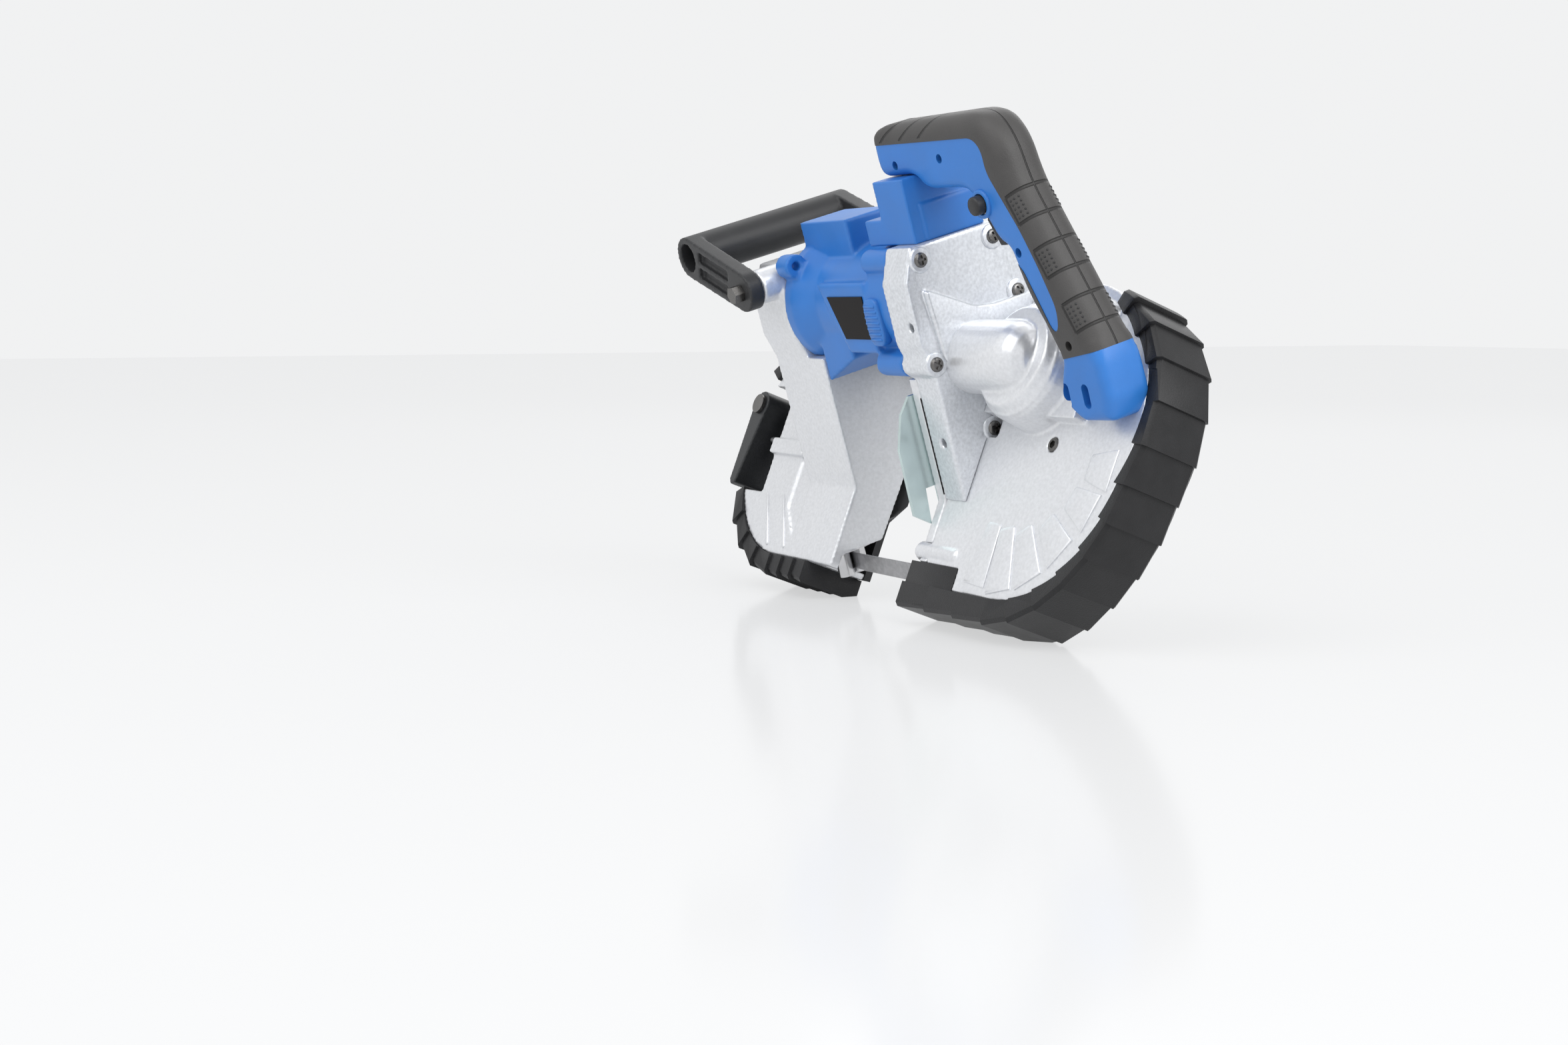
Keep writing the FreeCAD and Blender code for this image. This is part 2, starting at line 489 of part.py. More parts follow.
finish(cut("front_frame", front_frame_solid,
           prism("column_core", "yz", [(f"-({core_near})", core_foot), (f"-({core_near})", "core_top"),
                                       (core_back, "core_top")],
                 "-column_front + column_wall", "column_front - throat_front - 2 * column_wall"),
           box("head_core", ("-column_front + column_wall", "-head_core_half", "column_step"),
               "column_front - column_wall - head_core_end", "2 * head_core_half",
               "head_core_top - column_step"),
           rod("front_bearing_seat", "x", ("-collar_front - front_bearing_depth", "0", "motor_height"),
               "front_bearing_radius", "front_bearing_depth + over"),
           rod("bail_bolt_holes", "y", ("bail_along", "-lug_reach", "bail_height"), "bail_bolt",
               "2 * lug_reach"),
           in_cut_axes(prism("deck_recess", "xy", [
               ("recess_front", "recess_top"), ("recess_front", "recess_low"), ("recess_rear", "recess_tip"),
               ("recess_rear", "recess_shoulder")], "near_face - recess_depth", "recess_depth + over")),
           in_cut_axes(box("front_throat_clear", ("-throat_front", "-4 * housing_radius", "-4 * far_face"),
                           "throat_front", "8 * housing_radius", "8 * far_face"))))

# The rear frame: a casting with the drive wheel's deck and rim, the raised gear platform, and the stepped
# boss with a dome over the end of the bevel gear shaft
rear = "housing_spacing / 2"
crown = (f"{rear} - crown_back", "crown_rise")


def rear_outline(name, low, height, inset):
    return fuse(name, rod(name + "_wheel", "z", (rear, "0", low), f"housing_radius - {inset}", height),
                rod(name + "_crown", "z", crown + (low,), f"crown_radius - {inset}", height))


rear_rim = cut("rear_rim", rear_outline("rear_rim_outer", cover_seat, wheel_room, "0"),
               rear_outline("rear_rim_inner", cover_seat, wheel_room, "rim_wall"),
               box("rear_rim_open", ("0", "-2 * housing_radius", cover_seat), "rim_start",
                   "4 * housing_radius",
                   wheel_room),
               box("rear_rim_open_low", ("0", "-2 * housing_radius", cover_seat), rear, "2 * housing_radius",
                   wheel_room))
platform = common("platform", rod("platform_disc", "z", crown + ("near_face",),
                                  "crown_radius - platform_inset",
                                  "platform_height"),
                  box("platform_block", ("case_end", "platform_low", "near_face"), "platform_end - case_end",
                      "platform_reach", "platform_height"))
rear_solid = fuse(
    "rear_solid", rear_outline("rear_deck", deck_floor, "deck", "0"), rear_rim, platform,
    box("rear_deck_throat", ("case_joint", "-housing_radius", deck_floor), f"{rear} - case_joint",
        "housing_radius + deck_top", "deck"),
    box("rear_rim_low", ("rim_end", "-housing_radius", cover_seat), f"{rear} - rim_end", "rim_wall",
        wheel_room),
    box("rear_rim_high", ("case_joint", "rim_high", cover_seat), "rim_start + rim_wall - case_joint",
        "rim_wall",
        f"near_face - ({cover_seat})"),
    rod("boss", "z", dome + ("near_face",), "boss_radius", "boss_top - near_face"),
    rod("boss_step", "z", dome + ("near_face",), "step_radius", "step_top - near_face"),
    rod("dome_wall", "z", dome + ("near_face",), "dome_radius", "shaft_level - near_face"),
    ball("dome_cap", dome + ("shaft_level",), "dome_radius"),
    rod("shaft_neck", "x", ("case_end",) + second, "neck_radius", "dome_along - case_end"))
block_room = box("block_room", ("0", "-2 * housing_radius", "block_level - bumper_gap"),
                 "block_end + bumper_gap",
                 "2 * housing_radius + block_top + bumper_gap", "near_face - block_level + bumper_gap + over")
rear_body = cut("rear_body", rear_solid, block_room,
           rod("bevel_room", "z", dome + ("near_face",), "gear_room", "gear_room_top - near_face"),
           rod("pinion_room", "z", dome + ("near_face",), "pinion_room", "pinion_room_top - near_face"),
           rod("bevel_shaft_bore", "z", dome + ("mesh_low",), "gear_shaft_radius + run_gap",
               "shaft_tip_room - mesh_low"),
           rod("second_shaft_bore", "x", ("throat_rear",) + second, "shaft_bore", "dome_along - throat_rear"),
           rod("spindle_bearing_seat", "z", ("wheel_spacing / 2", "0", "gear_high"),
               "bearing_radius + seat_gap",
               "bearing_high - gear_high"),
           box("rear_throat_clear", ("0", "-4 * housing_radius", "-4 * far_face"), "case_joint",
               "8 * housing_radius", "8 * far_face"),
           rod("lobe_notch", "x", ("case_joint", "lobe_up * cos(twist) + lobe_across * sin(twist)",
                                   "lobe_up * sin(twist) - lobe_across * cos(twist)"),
               "lobe_radius + seat_gap", "case_end - case_joint + case_screw_height + over"),
           rod("plug_seat", "z", ("plug_along", "plug_rise", "near_face - plug_depth"),
               "plug_radius + seat_gap",
               "plug_depth + over"))
finish(fuse("rear_frame", rear_body,
            rod("throat_toe", "x", ("toe_start", "toe_rise", "toe_level"), "toe_radius", "toe_length")),
       "wheel")

# The throat plate closes the rear frame towards the cut
finish(cut("throat_plate",
           prism("throat_plate_block", "yz",
                 throat_section + [("cheek", "plate_top"), ("-cheek", "plate_top")],
                 "throat_rear", "case_joint - throat_rear - seat_gap"),
           in_cut_axes(rod("toe_room", "x", ("toe_start - over", "toe_rise", "toe_level"),
                           "toe_radius + seat_gap",
                           "toe_length")),
           in_cut_axes(block_room)))

# The gear case: a casting between motor and rear frame with a flat near cheek and four screw lugs
case_foot = "(near_face + seat_gap - cheek * cos(twist)) / sin(twist)"
case_back = "(near_face + seat_gap + cheek * cos(twist)) / sin(twist)"
case_upper = [("-cheek", "case_waist"), ("-shoulder", "case_swell_low"), ("-shoulder", "case_swell_high"),
              ("-case_crown", "case_top"), ("case_crown", "case_top"), ("cheek", "case_far_high")]
lug_places = [("-lug_up_half", "lug_up"), ("lug_up_half", "lug_up"),
              ("-lug_down_near", "lug_down"), ("lug_far", "lug_far_up")]
lobe = ("lobe_across", "lobe_up")
mouth_low = "plate_top + seat_gap"
motor_axis = ("0", "motor_height")
pinion_rise = "(motor_height * cos(twist) - dome_rise)"
pinion_level = "(motor_height * sin(twist) - shaft_level)"
motor_pinion_radius = (f"sqrt({pinion_rise} * {pinion_rise} + {pinion_level} * {pinion_level})"
                       " - second_gear_radius - pinion_gap")
case_solid = fuse(
    "case_solid",
    prism("case_block", "yz", [("-cheek", case_foot)] + case_upper + [("cheek", case_back)], "case_joint",
          "case_end - case_joint"),
    prism("case_mouth", "yz", [("-cheek", mouth_low)] + case_upper + [("cheek", mouth_low)], "motor_joint",
          "case_joint - motor_joint"),
    rod("case_lobe", "x", ("case_joint",) + lobe, "lobe_radius", "case_end - case_joint"),
    prism("case_relief", "yz", [("relief_near", "relief_top"), ("relief_low_near", "relief_low"),
                                ("relief_far", "relief_far_up")], "case_end", "relief_height"),
    *[rod(f"case_lug_{i}", "x", ("motor_joint",) + place, "case_lug_radius", "case_lug_end - motor_joint")
      for i, place in enumerate(lug_places)])
second_room = in_cut_axes(rod("second_gear_room", "x", ("second_gear_start - case_floor",) + second,
                              "second_gear_radius + gear_clear", "case_end - second_gear_start"))
second_way = in_cut_axes(rod("second_shaft_way", "x", ("motor_joint",) + second, "shaft_bore", "case_end"))
finish(cut("gear_case", case_solid, second_room, second_way,
           rod("motor_pinion_room", "x", ("second_gear_start - case_floor",) + motor_axis,
               f"{motor_pinion_radius} + gear_clear", "case_end - second_gear_start"),
           rod("rear_bearing_seat", "x", ("motor_joint - over",) + motor_axis,
               "rear_bearing_radius + seat_gap",
               "second_gear_start - case_floor - motor_joint + 2 * over"),
           rod("mount_hole_up", "y", ("mount_up_along", "-shoulder - over", "mount_up"), "mount_hole_radius",
               "mount_hole_depth"),
           rod("mount_hole_down", "y", ("mount_down_along", "-shoulder - over", "mount_down"),
               "mount_hole_radius",
               "mount_hole_depth + shoulder - cheek")))

# The covers over the far side of both wheels and the guard over the blade's upper run
cover_height = "cover - seat_gap"
front_cover = fuse(
    "front_cover", rod("front_cover_disc", "z", (front, "0", "-far_face"), "housing_radius - cover_inset",
                       cover_height),
    prism("front_cover_throat", "xy",
          [(front, "cover_inset - housing_radius"), ("-rim_end", "cover_inset - housing_radius"),
           ("-rim_end", "cover_notch"), ("-throat_front - throat_wall", "cover_corner"),
           ("-throat_front - throat_wall", "housing_radius - cover_inset"),
           (front, "housing_radius - cover_inset")], "-far_face", cover_height))
finish(cut("front_wheel_cover", front_cover,
           box("front_cover_clear", ("-throat_front - throat_wall", "-2 * housing_radius", "-2 * far_face"),
               "throat_front", "4 * housing_radius", "2 * far_face")), "wheel")
rear_cover = fuse(
    "rear_cover", rear_outline("rear_cover_disc", "-far_face", cover_height, "cover_inset"),
    prism("rear_cover_throat", "xy",
          [(rear, "cover_inset - housing_radius"), ("rim_end", "cover_inset - housing_radius"),
           ("rim_end", "cover_notch"), ("case_joint", "cover_corner"),
           ("case_joint", "rim_high + rim_wall"), ("rim_start + rim_wall", "rim_high + rim_wall")],
          "-far_face", cover_height))
finish(cut("rear_wheel_cover", rear_cover,
           box("rear_cover_clear", ("0", "-2 * housing_radius", "-2 * far_face"), "case_joint",
               "4 * housing_radius", "2 * far_face")), "wheel")
finish(cut("upper_blade_guard",
           box("guard_block", ("-throat_front + seat_gap", "guard_low", cover_seat),
               "throat_front + throat_rear - 2 * seat_gap", "guard_high - guard_low",
               f"guard_near - ({cover_seat})"),
           box("guard_channel", ("-throat_front", "guard_low + guard_wall", f"{cover_seat} + guard_wall"),
               "throat_front + throat_rear", "guard_high - guard_low - 2 * guard_wall",
               "guard_near + far_face")),
       "wheel")

# The bumpers: thick rubber with stepped tread blocks, flat underneath where the saw stands


def blend(value, first, last, at_first, at_last):
    """A value that runs evenly from at_first to at_last and stays level outside."""
    share = min(1, max(0, (value - first) / (last - first)))
    return at_first + (at_last - at_first) * share


def tread_block(start, end):
    """One block between two stations, each a point on the outline, its normal, a thickness and a far edge."""
    sections = []
    for (point, normal, thickness, far), step in ((start, 0), (end, size("bumper_step"))):
        chamfer = size("bumper_chamfer")
        near = size("near_face") + size("bumper_side_step") * (1 - step / size("bumper_step"))
        root = -size("bumper_root")
        top = thickness - step
        ends = [(root, near), (top - chamfer, near), (top, near - chamfer), (top, chamfer - far),
                (top - chamfer, -far),
                (root, -far)]
        corners = [point + normal * out + FreeCAD.Vector(0, 0, level) for out, level in ends]
        sections.append(Part.makePolygon(corners + corners[:1]))
    return Part.makeLoft(sections, True, True)


def arc_stations(centre, radius, first, last, thickness_at):
    """Stations along an arc of the housing, one tread block apart."""
    count = max(1, round(abs(last - first) / size("tread_angle")))
    stations = []
    for i in range(count + 1):
        angle = first + (last - first) * i / count
        normal = FreeCAD.Vector(math.cos(math.radians(angle)), math.sin(math.radians(angle)), 0)
        far = blend(abs(angle + 90), 0, 90 + size("side_start"), size("bumper_far"), size("bumper_far_side"))
        stations.append((centre + normal * radius, normal, thickness_at(angle), far))
    return stations


def flat_stations(start, end, thickness):
    count = int(size("flat_blocks"))
    down = FreeCAD.Vector(0, -1, 0)
    return [(FreeCAD.Vector(start + (end - start) * i / count, -size("housing_radius"), 0), down, thickness,
             size("bumper_far")) for i in range(count + 1)]


def bumper(name, stations, keep_clear, extra=()):
    blocks = [tread_block(a, b) for a, b in zip(stations, stations[1:])]
    solid = blocks[0].fuse(blocks[1:])
    for clear in keep_clear:
        solid = solid.cut(clear)
    for block in extra:
        solid = solid.fuse(block)
    reach = 4 * size("housing_radius") + size("housing_spacing")
    ground = Part.makeBox(2 * reach, 2 * reach, reach,
                          FreeCAD.Vector(-reach, -reach, -reach - size("stand_height")))
    ground.rotate(FreeCAD.Vector(), FreeCAD.Vector(1, 0, 0), size("twist") - 90 - size("lean"))
    piece = doc.addObject("Part::Feature", name)
    piece.Shape = solid.cut(ground).removeSplitter()
    return finish(piece, "wheel")


def outline_disc(centre, radius):
    level = FreeCAD.Vector(0, 0, -2 * size("far_face"))
    return Part.makeCylinder(radius + size("bumper_gap"), 4 * size("far_face"), centre + level)


def circle_meeting(first, first_radius, second, second_radius):
    """The outer point where two outline circles meet."""
    offset = second - first
    reach = (first_radius ** 2 - second_radius ** 2 + offset.Length ** 2) / (2 * offset.Length)
    along = offset / offset.Length
    aside = FreeCAD.Vector(along.y, -along.x, 0)
    return first + along * reach + aside * math.sqrt(first_radius ** 2 - reach ** 2)


def bearing_of(point, centre):
    return math.degrees(math.atan2(point.y - centre.y, point.x - centre.x))


half_spacing = size("housing_spacing") / 2
rear_centre = FreeCAD.Vector(half_spacing, 0, 0)
front_centre = FreeCAD.Vector(-half_spacing, 0, 0)
crown_centre = FreeCAD.Vector(half_spacing - size("crown_back"), size("crown_rise"), 0)
meeting = circle_meeting(rear_centre, size("housing_radius"), crown_centre, size("crown_radius"))
flat_room = Part.makeBox(2 * half_spacing, size("housing_radius"), 4 * size("far_face"),
                         FreeCAD.Vector(-half_spacing, -size("housing_radius") - size("bumper_gap"),
                                        -2 * size("far_face")))
roller_room = Part.makeBox(size("guide_length") + 2 * size("over"), -size("roller_room_low"),
                           2 * size("block_level"),
                           FreeCAD.Vector(size("case_joint") - size("over"), size("roller_room_low"),
                                          -size("block_level")))
cap_room = Part.makeBox(size("crown_radius"), size("cap_room_high") - size("cap_room_low"), size("near_face"),
                        FreeCAD.Vector(size("cap_room_start"), size("cap_room_low"), size("near_face")))
end_block = Part.makeBox(size("block_end") - size("rear_flat_end"), size("block_top") - size("block_low"),
                         size("near_face") - size("block_level"),
                         FreeCAD.Vector(size("rear_flat_end"), size("block_low"), size("block_level")))


def wheel_thickness(angle):
    return blend(angle, -90, size("side_start"), size("bumper_thickness"), size("bumper_side"))


def crown_thickness(angle):
    return blend(angle, size("crown_taper"), size("crown_end"), size("bumper_side"), size("bumper_end"))


def front_thickness(angle):
    return size("bumper_front")


bumper("rear_bumper",
       flat_stations(size("rear_flat_end"), half_spacing, size("bumper_thickness"))
       + arc_stations(rear_centre, size("housing_radius"), -90, bearing_of(meeting, rear_centre),
                      wheel_thickness)[1:]
       + arc_stations(crown_centre, size("crown_radius"), bearing_of(meeting, crown_centre),
                      size("crown_end"),
                      crown_thickness)[1:],
       (outline_disc(rear_centre, size("housing_radius")), outline_disc(crown_centre, size("crown_radius")),
        flat_room,
        roller_room, cap_room), (end_block,))
bumper("front_bumper",
       flat_stations(size("front_flat_end"), -half_spacing, size("bumper_front"))
       + arc_stations(front_centre, size("housing_radius"), -90, size("front_end"), front_thickness)[1:],
       (outline_disc(front_centre, size("housing_radius")), flat_room))
bumper("front_bumper_upper",
       arc_stations(front_centre, size("housing_radius"), size("front_upper_start"), size("front_upper_end"),
                    front_thickness),
       (outline_disc(front_centre, size("housing_radius")),))

# The motor: a moulded housing with a flat underside over the throat, and the motor inside
motor_solid = fuse(
    "motor_solid",
    rod("barrel", "x", ("-collar_front",) + motor_axis, "motor_radius", "collar_front + motor_joint"),
    rod("front_collar", "x", ("-collar_front",) + motor_axis, "collar_radius", "collar_length"),
    cone("front_flare", "x", ("collar_length - collar_front",) + motor_axis, "collar_radius", "motor_radius",
         "flare_length"),
    rod("rear_flange", "x", ("motor_joint - flange_length",) + motor_axis, "flange_radius", "flange_length"),
    prism("skirt", "xz", [("-throat_front", "ceiling"), ("-throat_front", "motor_height"),
                          ("skirt_end", "motor_height"), ("skirt_end", "skirt_rise")], "-skirt_far",
          "skirt_far - skirt_near"),
    prism("plate_pad", "xz", [("pad_front", "pad_high"), ("pad_rear", "pad_high"), ("pad_rear", "pad_low"),
                              ("pad_front_low", "pad_low")], "0", "pad_face"),
    box("brush_box", ("box_start", "-box_half", "box_base"), "box_end - box_start", "2 * box_half",
        "box_top - box_base"),
    *[rod(f"motor_ear_{i}", "x", ("-collar_front", across, "ear_up"), "ear_radius", "collar_front + ear_end")
      for i, across in enumerate(("-ear_across", "ear_across"))],
    *[rod(f"motor_lug_{i}", "x", ("motor_joint - motor_lug_length",) + place, "case_lug_radius",
          "motor_lug_length") for i, place in enumerate(lug_places)])
finish(cut("motor_housing", motor_solid,
           rod("motor_bore", "x", ("-collar_front - over",) + motor_axis, "motor_radius - motor_wall",
               "collar_front + motor_joint + 2 * over"),
           *[rod(f"ear_hole_{i}", "x", ("ear_end - ear_hole_depth", across, "ear_up"), "ear_hole",
                 "ear_hole_depth + over") for i, across in enumerate(("-ear_across", "ear_across"))],
           box("column_room", ("-collar_front - over", "-2 * cheek", "0"),
               "collar_front - throat_front + over + seat_gap", "4 * cheek", "column_step + seat_gap")))

finish(ring("motor_stator", "x", ("stator_start",) + motor_axis, "motor_radius - motor_wall - seat_gap",
            "stator_inner", "stator_length"))
finish(fuse("motor_armature",
            rod("armature_shaft", "x", ("-shaft_front",) + motor_axis, "motor_shaft_radius",
                "shaft_front + second_gear_start + motor_pinion_length"),
            rod("armature_core", "x", ("core_start",) + motor_axis, "core_radius", "core_length"),
            rod("commutator", "x", ("commutator_start",) + motor_axis, "commutator_radius",
                "commutator_length")))
finish(ring("motor_fan", "x", ("fan_start",) + motor_axis, "fan_radius", "motor_shaft_radius + seat_gap",
            "fan_length"))
finish(ring("motor_pinion", "x", ("second_gear_start",) + motor_axis, motor_pinion_radius,
            "motor_shaft_radius + seat_gap", "motor_pinion_length - pinion_short"))
finish(ring("front_motor_bearing", "x", ("-collar_front - front_bearing_back",) + motor_axis,
            "front_bearing_radius - seat_gap",
            "motor_shaft_radius + run_gap", "rear_bearing_depth"))
finish(ring("rear_motor_bearing", "x", ("motor_joint - bearing_set_back",) + motor_axis,
            "rear_bearing_radius",
            "motor_shaft_radius + run_gap", "rear_bearing_depth"))

# A bare rating plate let on to the barrel
finish(prism("rating_plate", "xz", [("plate_front", "plate_high"), ("plate_rear", "plate_high"),
                                    ("plate_rear", "plate_low"), ("plate_front_low", "plate_low")],
             "pad_face + seat_gap", "rating_thickness"))

# The handle: a foot block on the gear case, two moulded halves and a rubber grip over them
foot_seat = "case_top + seat_gap"
panel_seam = "seam_line / 2"
finish(fuse("handle_foot",
            box("foot_block", ("foot_start", "foot_near", foot_seat), "foot_end - foot_start",
                "foot_far - foot_near", f"foot_top - ({foot_seat})"),
            box("foot_step", ("step_start", "foot_near", foot_seat), "foot_start - step_start",
                "step_far - foot_near", f"foot_step_top - ({foot_seat})"),
            box("foot_panel_near", ("foot_end", "panel_near", foot_seat), "panel_height",
                f"-{panel_seam} - panel_near", f"panel_top - ({foot_seat})"),
            box("foot_panel_far", ("foot_end", panel_seam, foot_seat), "panel_height",
                f"panel_far - {panel_seam}", f"panel_top - ({foot_seat})")))
blue_edge = [("bend_along", "bend_seam"), ("bend_inner", "bend_top"), ("bend_inner", "bend_low"),
             ("leg_mid", "leg_mid_up"), ("leg_low", "leg_low_up"), ("tongue_tip", "tongue_tip_up"),
             ("tongue_end", "tongue_end_up"), ("tongue_inner", "tongue_inner_up"),
             ("leg_inner", "leg_inner_up")]
core_outline = [("arm_front", "arm_low"), ("arm_front", "arm_seam")] + blue_edge + [
    ("knee_low", "knee_low_up"), ("knee", "knee_up"), ("finger_low", "finger_low_up"),
    ("finger_mid", "finger_mid_up"), ("finger_top", "finger_top_up"), ("arm_under", "arm_under_up"),
    ("heel", "arm_low")]
grip_outline = [("arm_front", "arm_seam"), ("arm_front", "lip_up"), ("lip_end", "grip_top"),
                ("bend_along", "grip_top"), ("shoulder_along", "shoulder_up"), ("grip_turn", "grip_turn_up"),
                ("grip_back", "grip_back_up"), ("grip_end", "grip_end_up"), ("grip_inner", "grip_inner_up"),
                ("grip_edge", "grip_edge_up")] + blue_edge[::-1]
spine_outline = [("spine_inner", "spine_up"), ("spine_outer", "spine_up"), ("spine_back", "spine_back_up"),
                 ("spine_heel", "spine_heel_up"), ("spine_toe", "spine_toe_up"),
                 ("spine_front", "spine_front_up")]
cap_outline = [("grip_inner", "grip_inner_up"), ("grip_end", "grip_end_up"), ("cap_back", "cap_back_up"),
               ("cap_heel", "cap_low"), ("cap_toe", "cap_low"), ("cap_front", "cap_front_up"),
               ("cap_nose", "cap_nose_up"), ("cap_rise", "cap_rise_up")]
button_along = "button_line - button_slant * button_up"
trigger_outline = [("trigger_front", "trigger_front_up"), ("trigger_nose", "trigger_nose_up"),
                   ("trigger_tip", "trigger_low"), ("finger_low", "trigger_low"),
                   ("trigger_heel", "trigger_heel_up"),
                   ("trigger_back", "trigger_top")]
trigger_room = [("room_front", "room_front_up"), ("room_low", "room_low_up"), ("room_heel", "room_low_up"),
                ("room_back", "room_back_up"), ("room_heel", "room_top"), ("room_top_front", "room_top")]
screw_places = [("screw_front", "screw_front_up"), ("screw_mid", "screw_mid_up"),
                ("screw_line - screw_slant * (button_up - screw_drop)", "button_up - screw_drop"),
                ("screw_end", "screw_end_up")]
seat_under = in_cut_axes(box("seat_under", ("throat_rear", "-crown_radius", "-4 * near_face"),
                             "3 * crown_radius",
                             "3 * crown_radius", "5 * near_face + seat_gap"))


def handle_half(name, offset):
    solid = fuse(name + "_solid", prism(name + "_core", "xz", core_outline, offset, "half_width"),
                 prism(name + "_spine", "xz", spine_outline, f"{offset} * spine_half / half_width",
                       "spine_half"),
                 prism(name + "_cap", "xz", cap_outline, offset, "half_width"))
    tools = [seat_under, prism(name + "_trigger_room", "xz", trigger_room, "-trigger_room_half",
                               "2 * trigger_room_half")]
    if offset == "0":
        tools += [rod(f"{name}_hole_{i}", "y", (x, "-half_width - over", z), "hole_radius",
                      "screw_recess + over")
                  for i, (x, z) in enumerate(screw_places)]
        tools.append(rod(name + "_button_hole", "y", (button_along, "-half_width - over", "button_up"),
                         "button_radius + button_gap", "half_width + over - button_room"))
        for slot in ("slot_first", "slot_second"):
            ends = [rod(f"{name}_{slot}_{end}", "y",
                        (slot, "-half_width - over", f"slot_up {sign} slot_reach"),
                        "slot_radius", "slot_depth + over") for end, sign in (("top", "+"), ("low", "-"))]
            tools += ends + [box(f"{name}_{slot}", (f"{slot} - slot_radius", "-half_width - over",
                                                    "slot_up - slot_reach"),
                                 "2 * slot_radius", "slot_depth + over", "2 * slot_reach")]
    return finish(cut(name, solid, *tools))


handle_half("handle_near_half", "0")
handle_half("handle_far_half", "-half_width")
finish(cut("handle_grip", prism("grip_block", "xz", grip_outline, "0", "2 * half_width", both_ways=True),
           prism("grip_spine_room", "xz", spine_outline, "0", "2 * spine_half + 2 * seat_gap",
                 both_ways=True),
           rod("grip_screw_hole", "y", ("screw_end", "-half_width - over", "screw_end_up"), "hole_radius",
               "half_width")))
finish(prism("trigger", "xz", trigger_outline, "0", "2 * trigger_half", both_ways=True))
finish(group("lock_button", rod("button_rod", "y", (button_along, "-button_face", "button_up"),
                                "button_radius",
                                "button_face - button_root")))

# The bail handle at the front: a tube between two arms on the front frame's lugs
tube_along = "bail_along - bail_reach * cos(bail_slope)"
tube_up = "bail_height + bail_reach * sin(bail_slope)"


def bail_arm(name, start, offset):
    side = "sin(bail_slope)"
    rise = "cos(bail_slope)"
    return fuse(name,
                rod(name + "_tube_end", "y", (tube_along, start, tube_up), "bail_tube", "bail_arm"),
                rod(name + "_eye", "y", ("bail_along", start, "bail_height"), "bail_eye", "bail_arm"),
                prism(name + "_web", "xz",
                      [(f"{tube_along} + bail_tube * {side}", f"{tube_up} + bail_tube * {rise}"),
                       (f"bail_along + bail_eye * {side}", f"bail_height + bail_eye * {rise}"),
                       (f"bail_along - bail_eye * {side}", f"bail_height - bail_eye * {rise}"),
                       (f"{tube_along} - bail_tube * {side}", f"{tube_up} - bail_tube * {rise}")],
                      offset, "bail_arm"))


def arm_point(reach, aside):
    """A place on the bail's arm, so far out from the bolt and so far above the arm's middle line."""
    return (f"bail_along - ({reach}) * cos(bail_slope) + ({aside}) * sin(bail_slope)",
            f"bail_height + ({reach}) * sin(bail_slope) + ({aside}) * cos(bail_slope)")


def arm_pocket(name, low, high, offset):
    """A long pocket beside the arm's middle rib."""
    return prism(name, "xz", [arm_point("pocket_start", low), arm_point("pocket_end", low),
                              arm_point("pocket_end", high), arm_point("pocket_start", high)],
                 offset, "pocket_depth + over")


def hexagon(name, at, radius, length):
    """A six-sided bolt head along y."""
    head = doc.addObject("Part::Prism", name)
    head.Polygon = 6
    head.Placement.Rotation = TURN["y"]
    bind(head, Circumradius=radius, Height=length)
    put(head, at)
    return head


near_pocket = "bail_half - pocket_depth"
far_pocket = "-bail_half - over"
finish(cut("bail_handle",
           fuse("bail_solid", rod("bail_grip", "y", (tube_along, "-bail_half", tube_up), "bail_tube",
                                  "2 * bail_half"),
                bail_arm("bail_near_arm", "-bail_half", "bail_half - bail_arm"),
                bail_arm("bail_far_arm", "bail_half - bail_arm", "-bail_half")),
           rod("bail_tube_bore", "y", (tube_along, "-bail_half - over", tube_up), "bail_bore",
               "2 * bail_half + 2 * over"),
           rod("bail_pivot_bore", "y", ("bail_along", "-bail_half - over", "bail_height"),
               "bail_bolt + run_gap",
               "2 * bail_half + 2 * over"),
           arm_pocket("near_pocket_low", "-pocket_half", "-pocket_rib / 2", near_pocket),
           arm_pocket("near_pocket_high", "pocket_rib / 2", "pocket_half", near_pocket),
           arm_pocket("far_pocket_low", "-pocket_half", "-pocket_rib / 2", far_pocket),
           arm_pocket("far_pocket_high", "pocket_rib / 2", "pocket_half", far_pocket)))
finish(group("bail_bolts", *[
    fuse(f"bail_bolt_{i}",
         rod(f"bail_bolt_shank_{i}", "y", ("bail_along", shank, "bail_height"), "bail_bolt - seat_gap",
             "bolt_grip + bail_arm"),
         hexagon(f"bail_bolt_head_{i}", ("bail_along", head, "bail_height"), "bolt_head", "bolt_head_height"))
    for i, (shank, head) in enumerate((("-bail_half - seat_gap", "-bail_half - bolt_head_height - seat_gap"),
                                       ("bail_half + seat_gap - bolt_grip - bail_arm",
                                        "bail_half + seat_gap")))]))

# Blade tension: the idler's sliding carriage with axle, rails and springs, and the lever that releases it
idler = "-wheel_spacing / 2"
finish(fuse("idler_carriage",
            box("carriage_block", (f"{idler} - carriage_front", "-carriage_half", "carriage_low"),
                "carriage_front + carriage_rear", "2 * carriage_half", "carriage_high - carriage_low"),
            rod("carriage_rod", "x", ("-tension_rod_front", "0", "tension_level"), "tension_rod",
                f"tension_rod_front + {idler}")), "wheel")
finish(fuse("idler_axle",
            rod("axle_shank", "z", ("0", "0", "-spindle_low"), "spindle_radius",
                "spindle_low + carriage_low - seat_gap"),
            rod("axle_head", "z", ("0", "0", "-spindle_low"), "head_radius", "head_height")), "wheel", idler)
finish(ring("idler_bearing", "z", ("0", "0", "-hub_half"), "bearing_radius", "spindle_radius + run_gap",
            "2 * hub_half"), "wheel", idler)
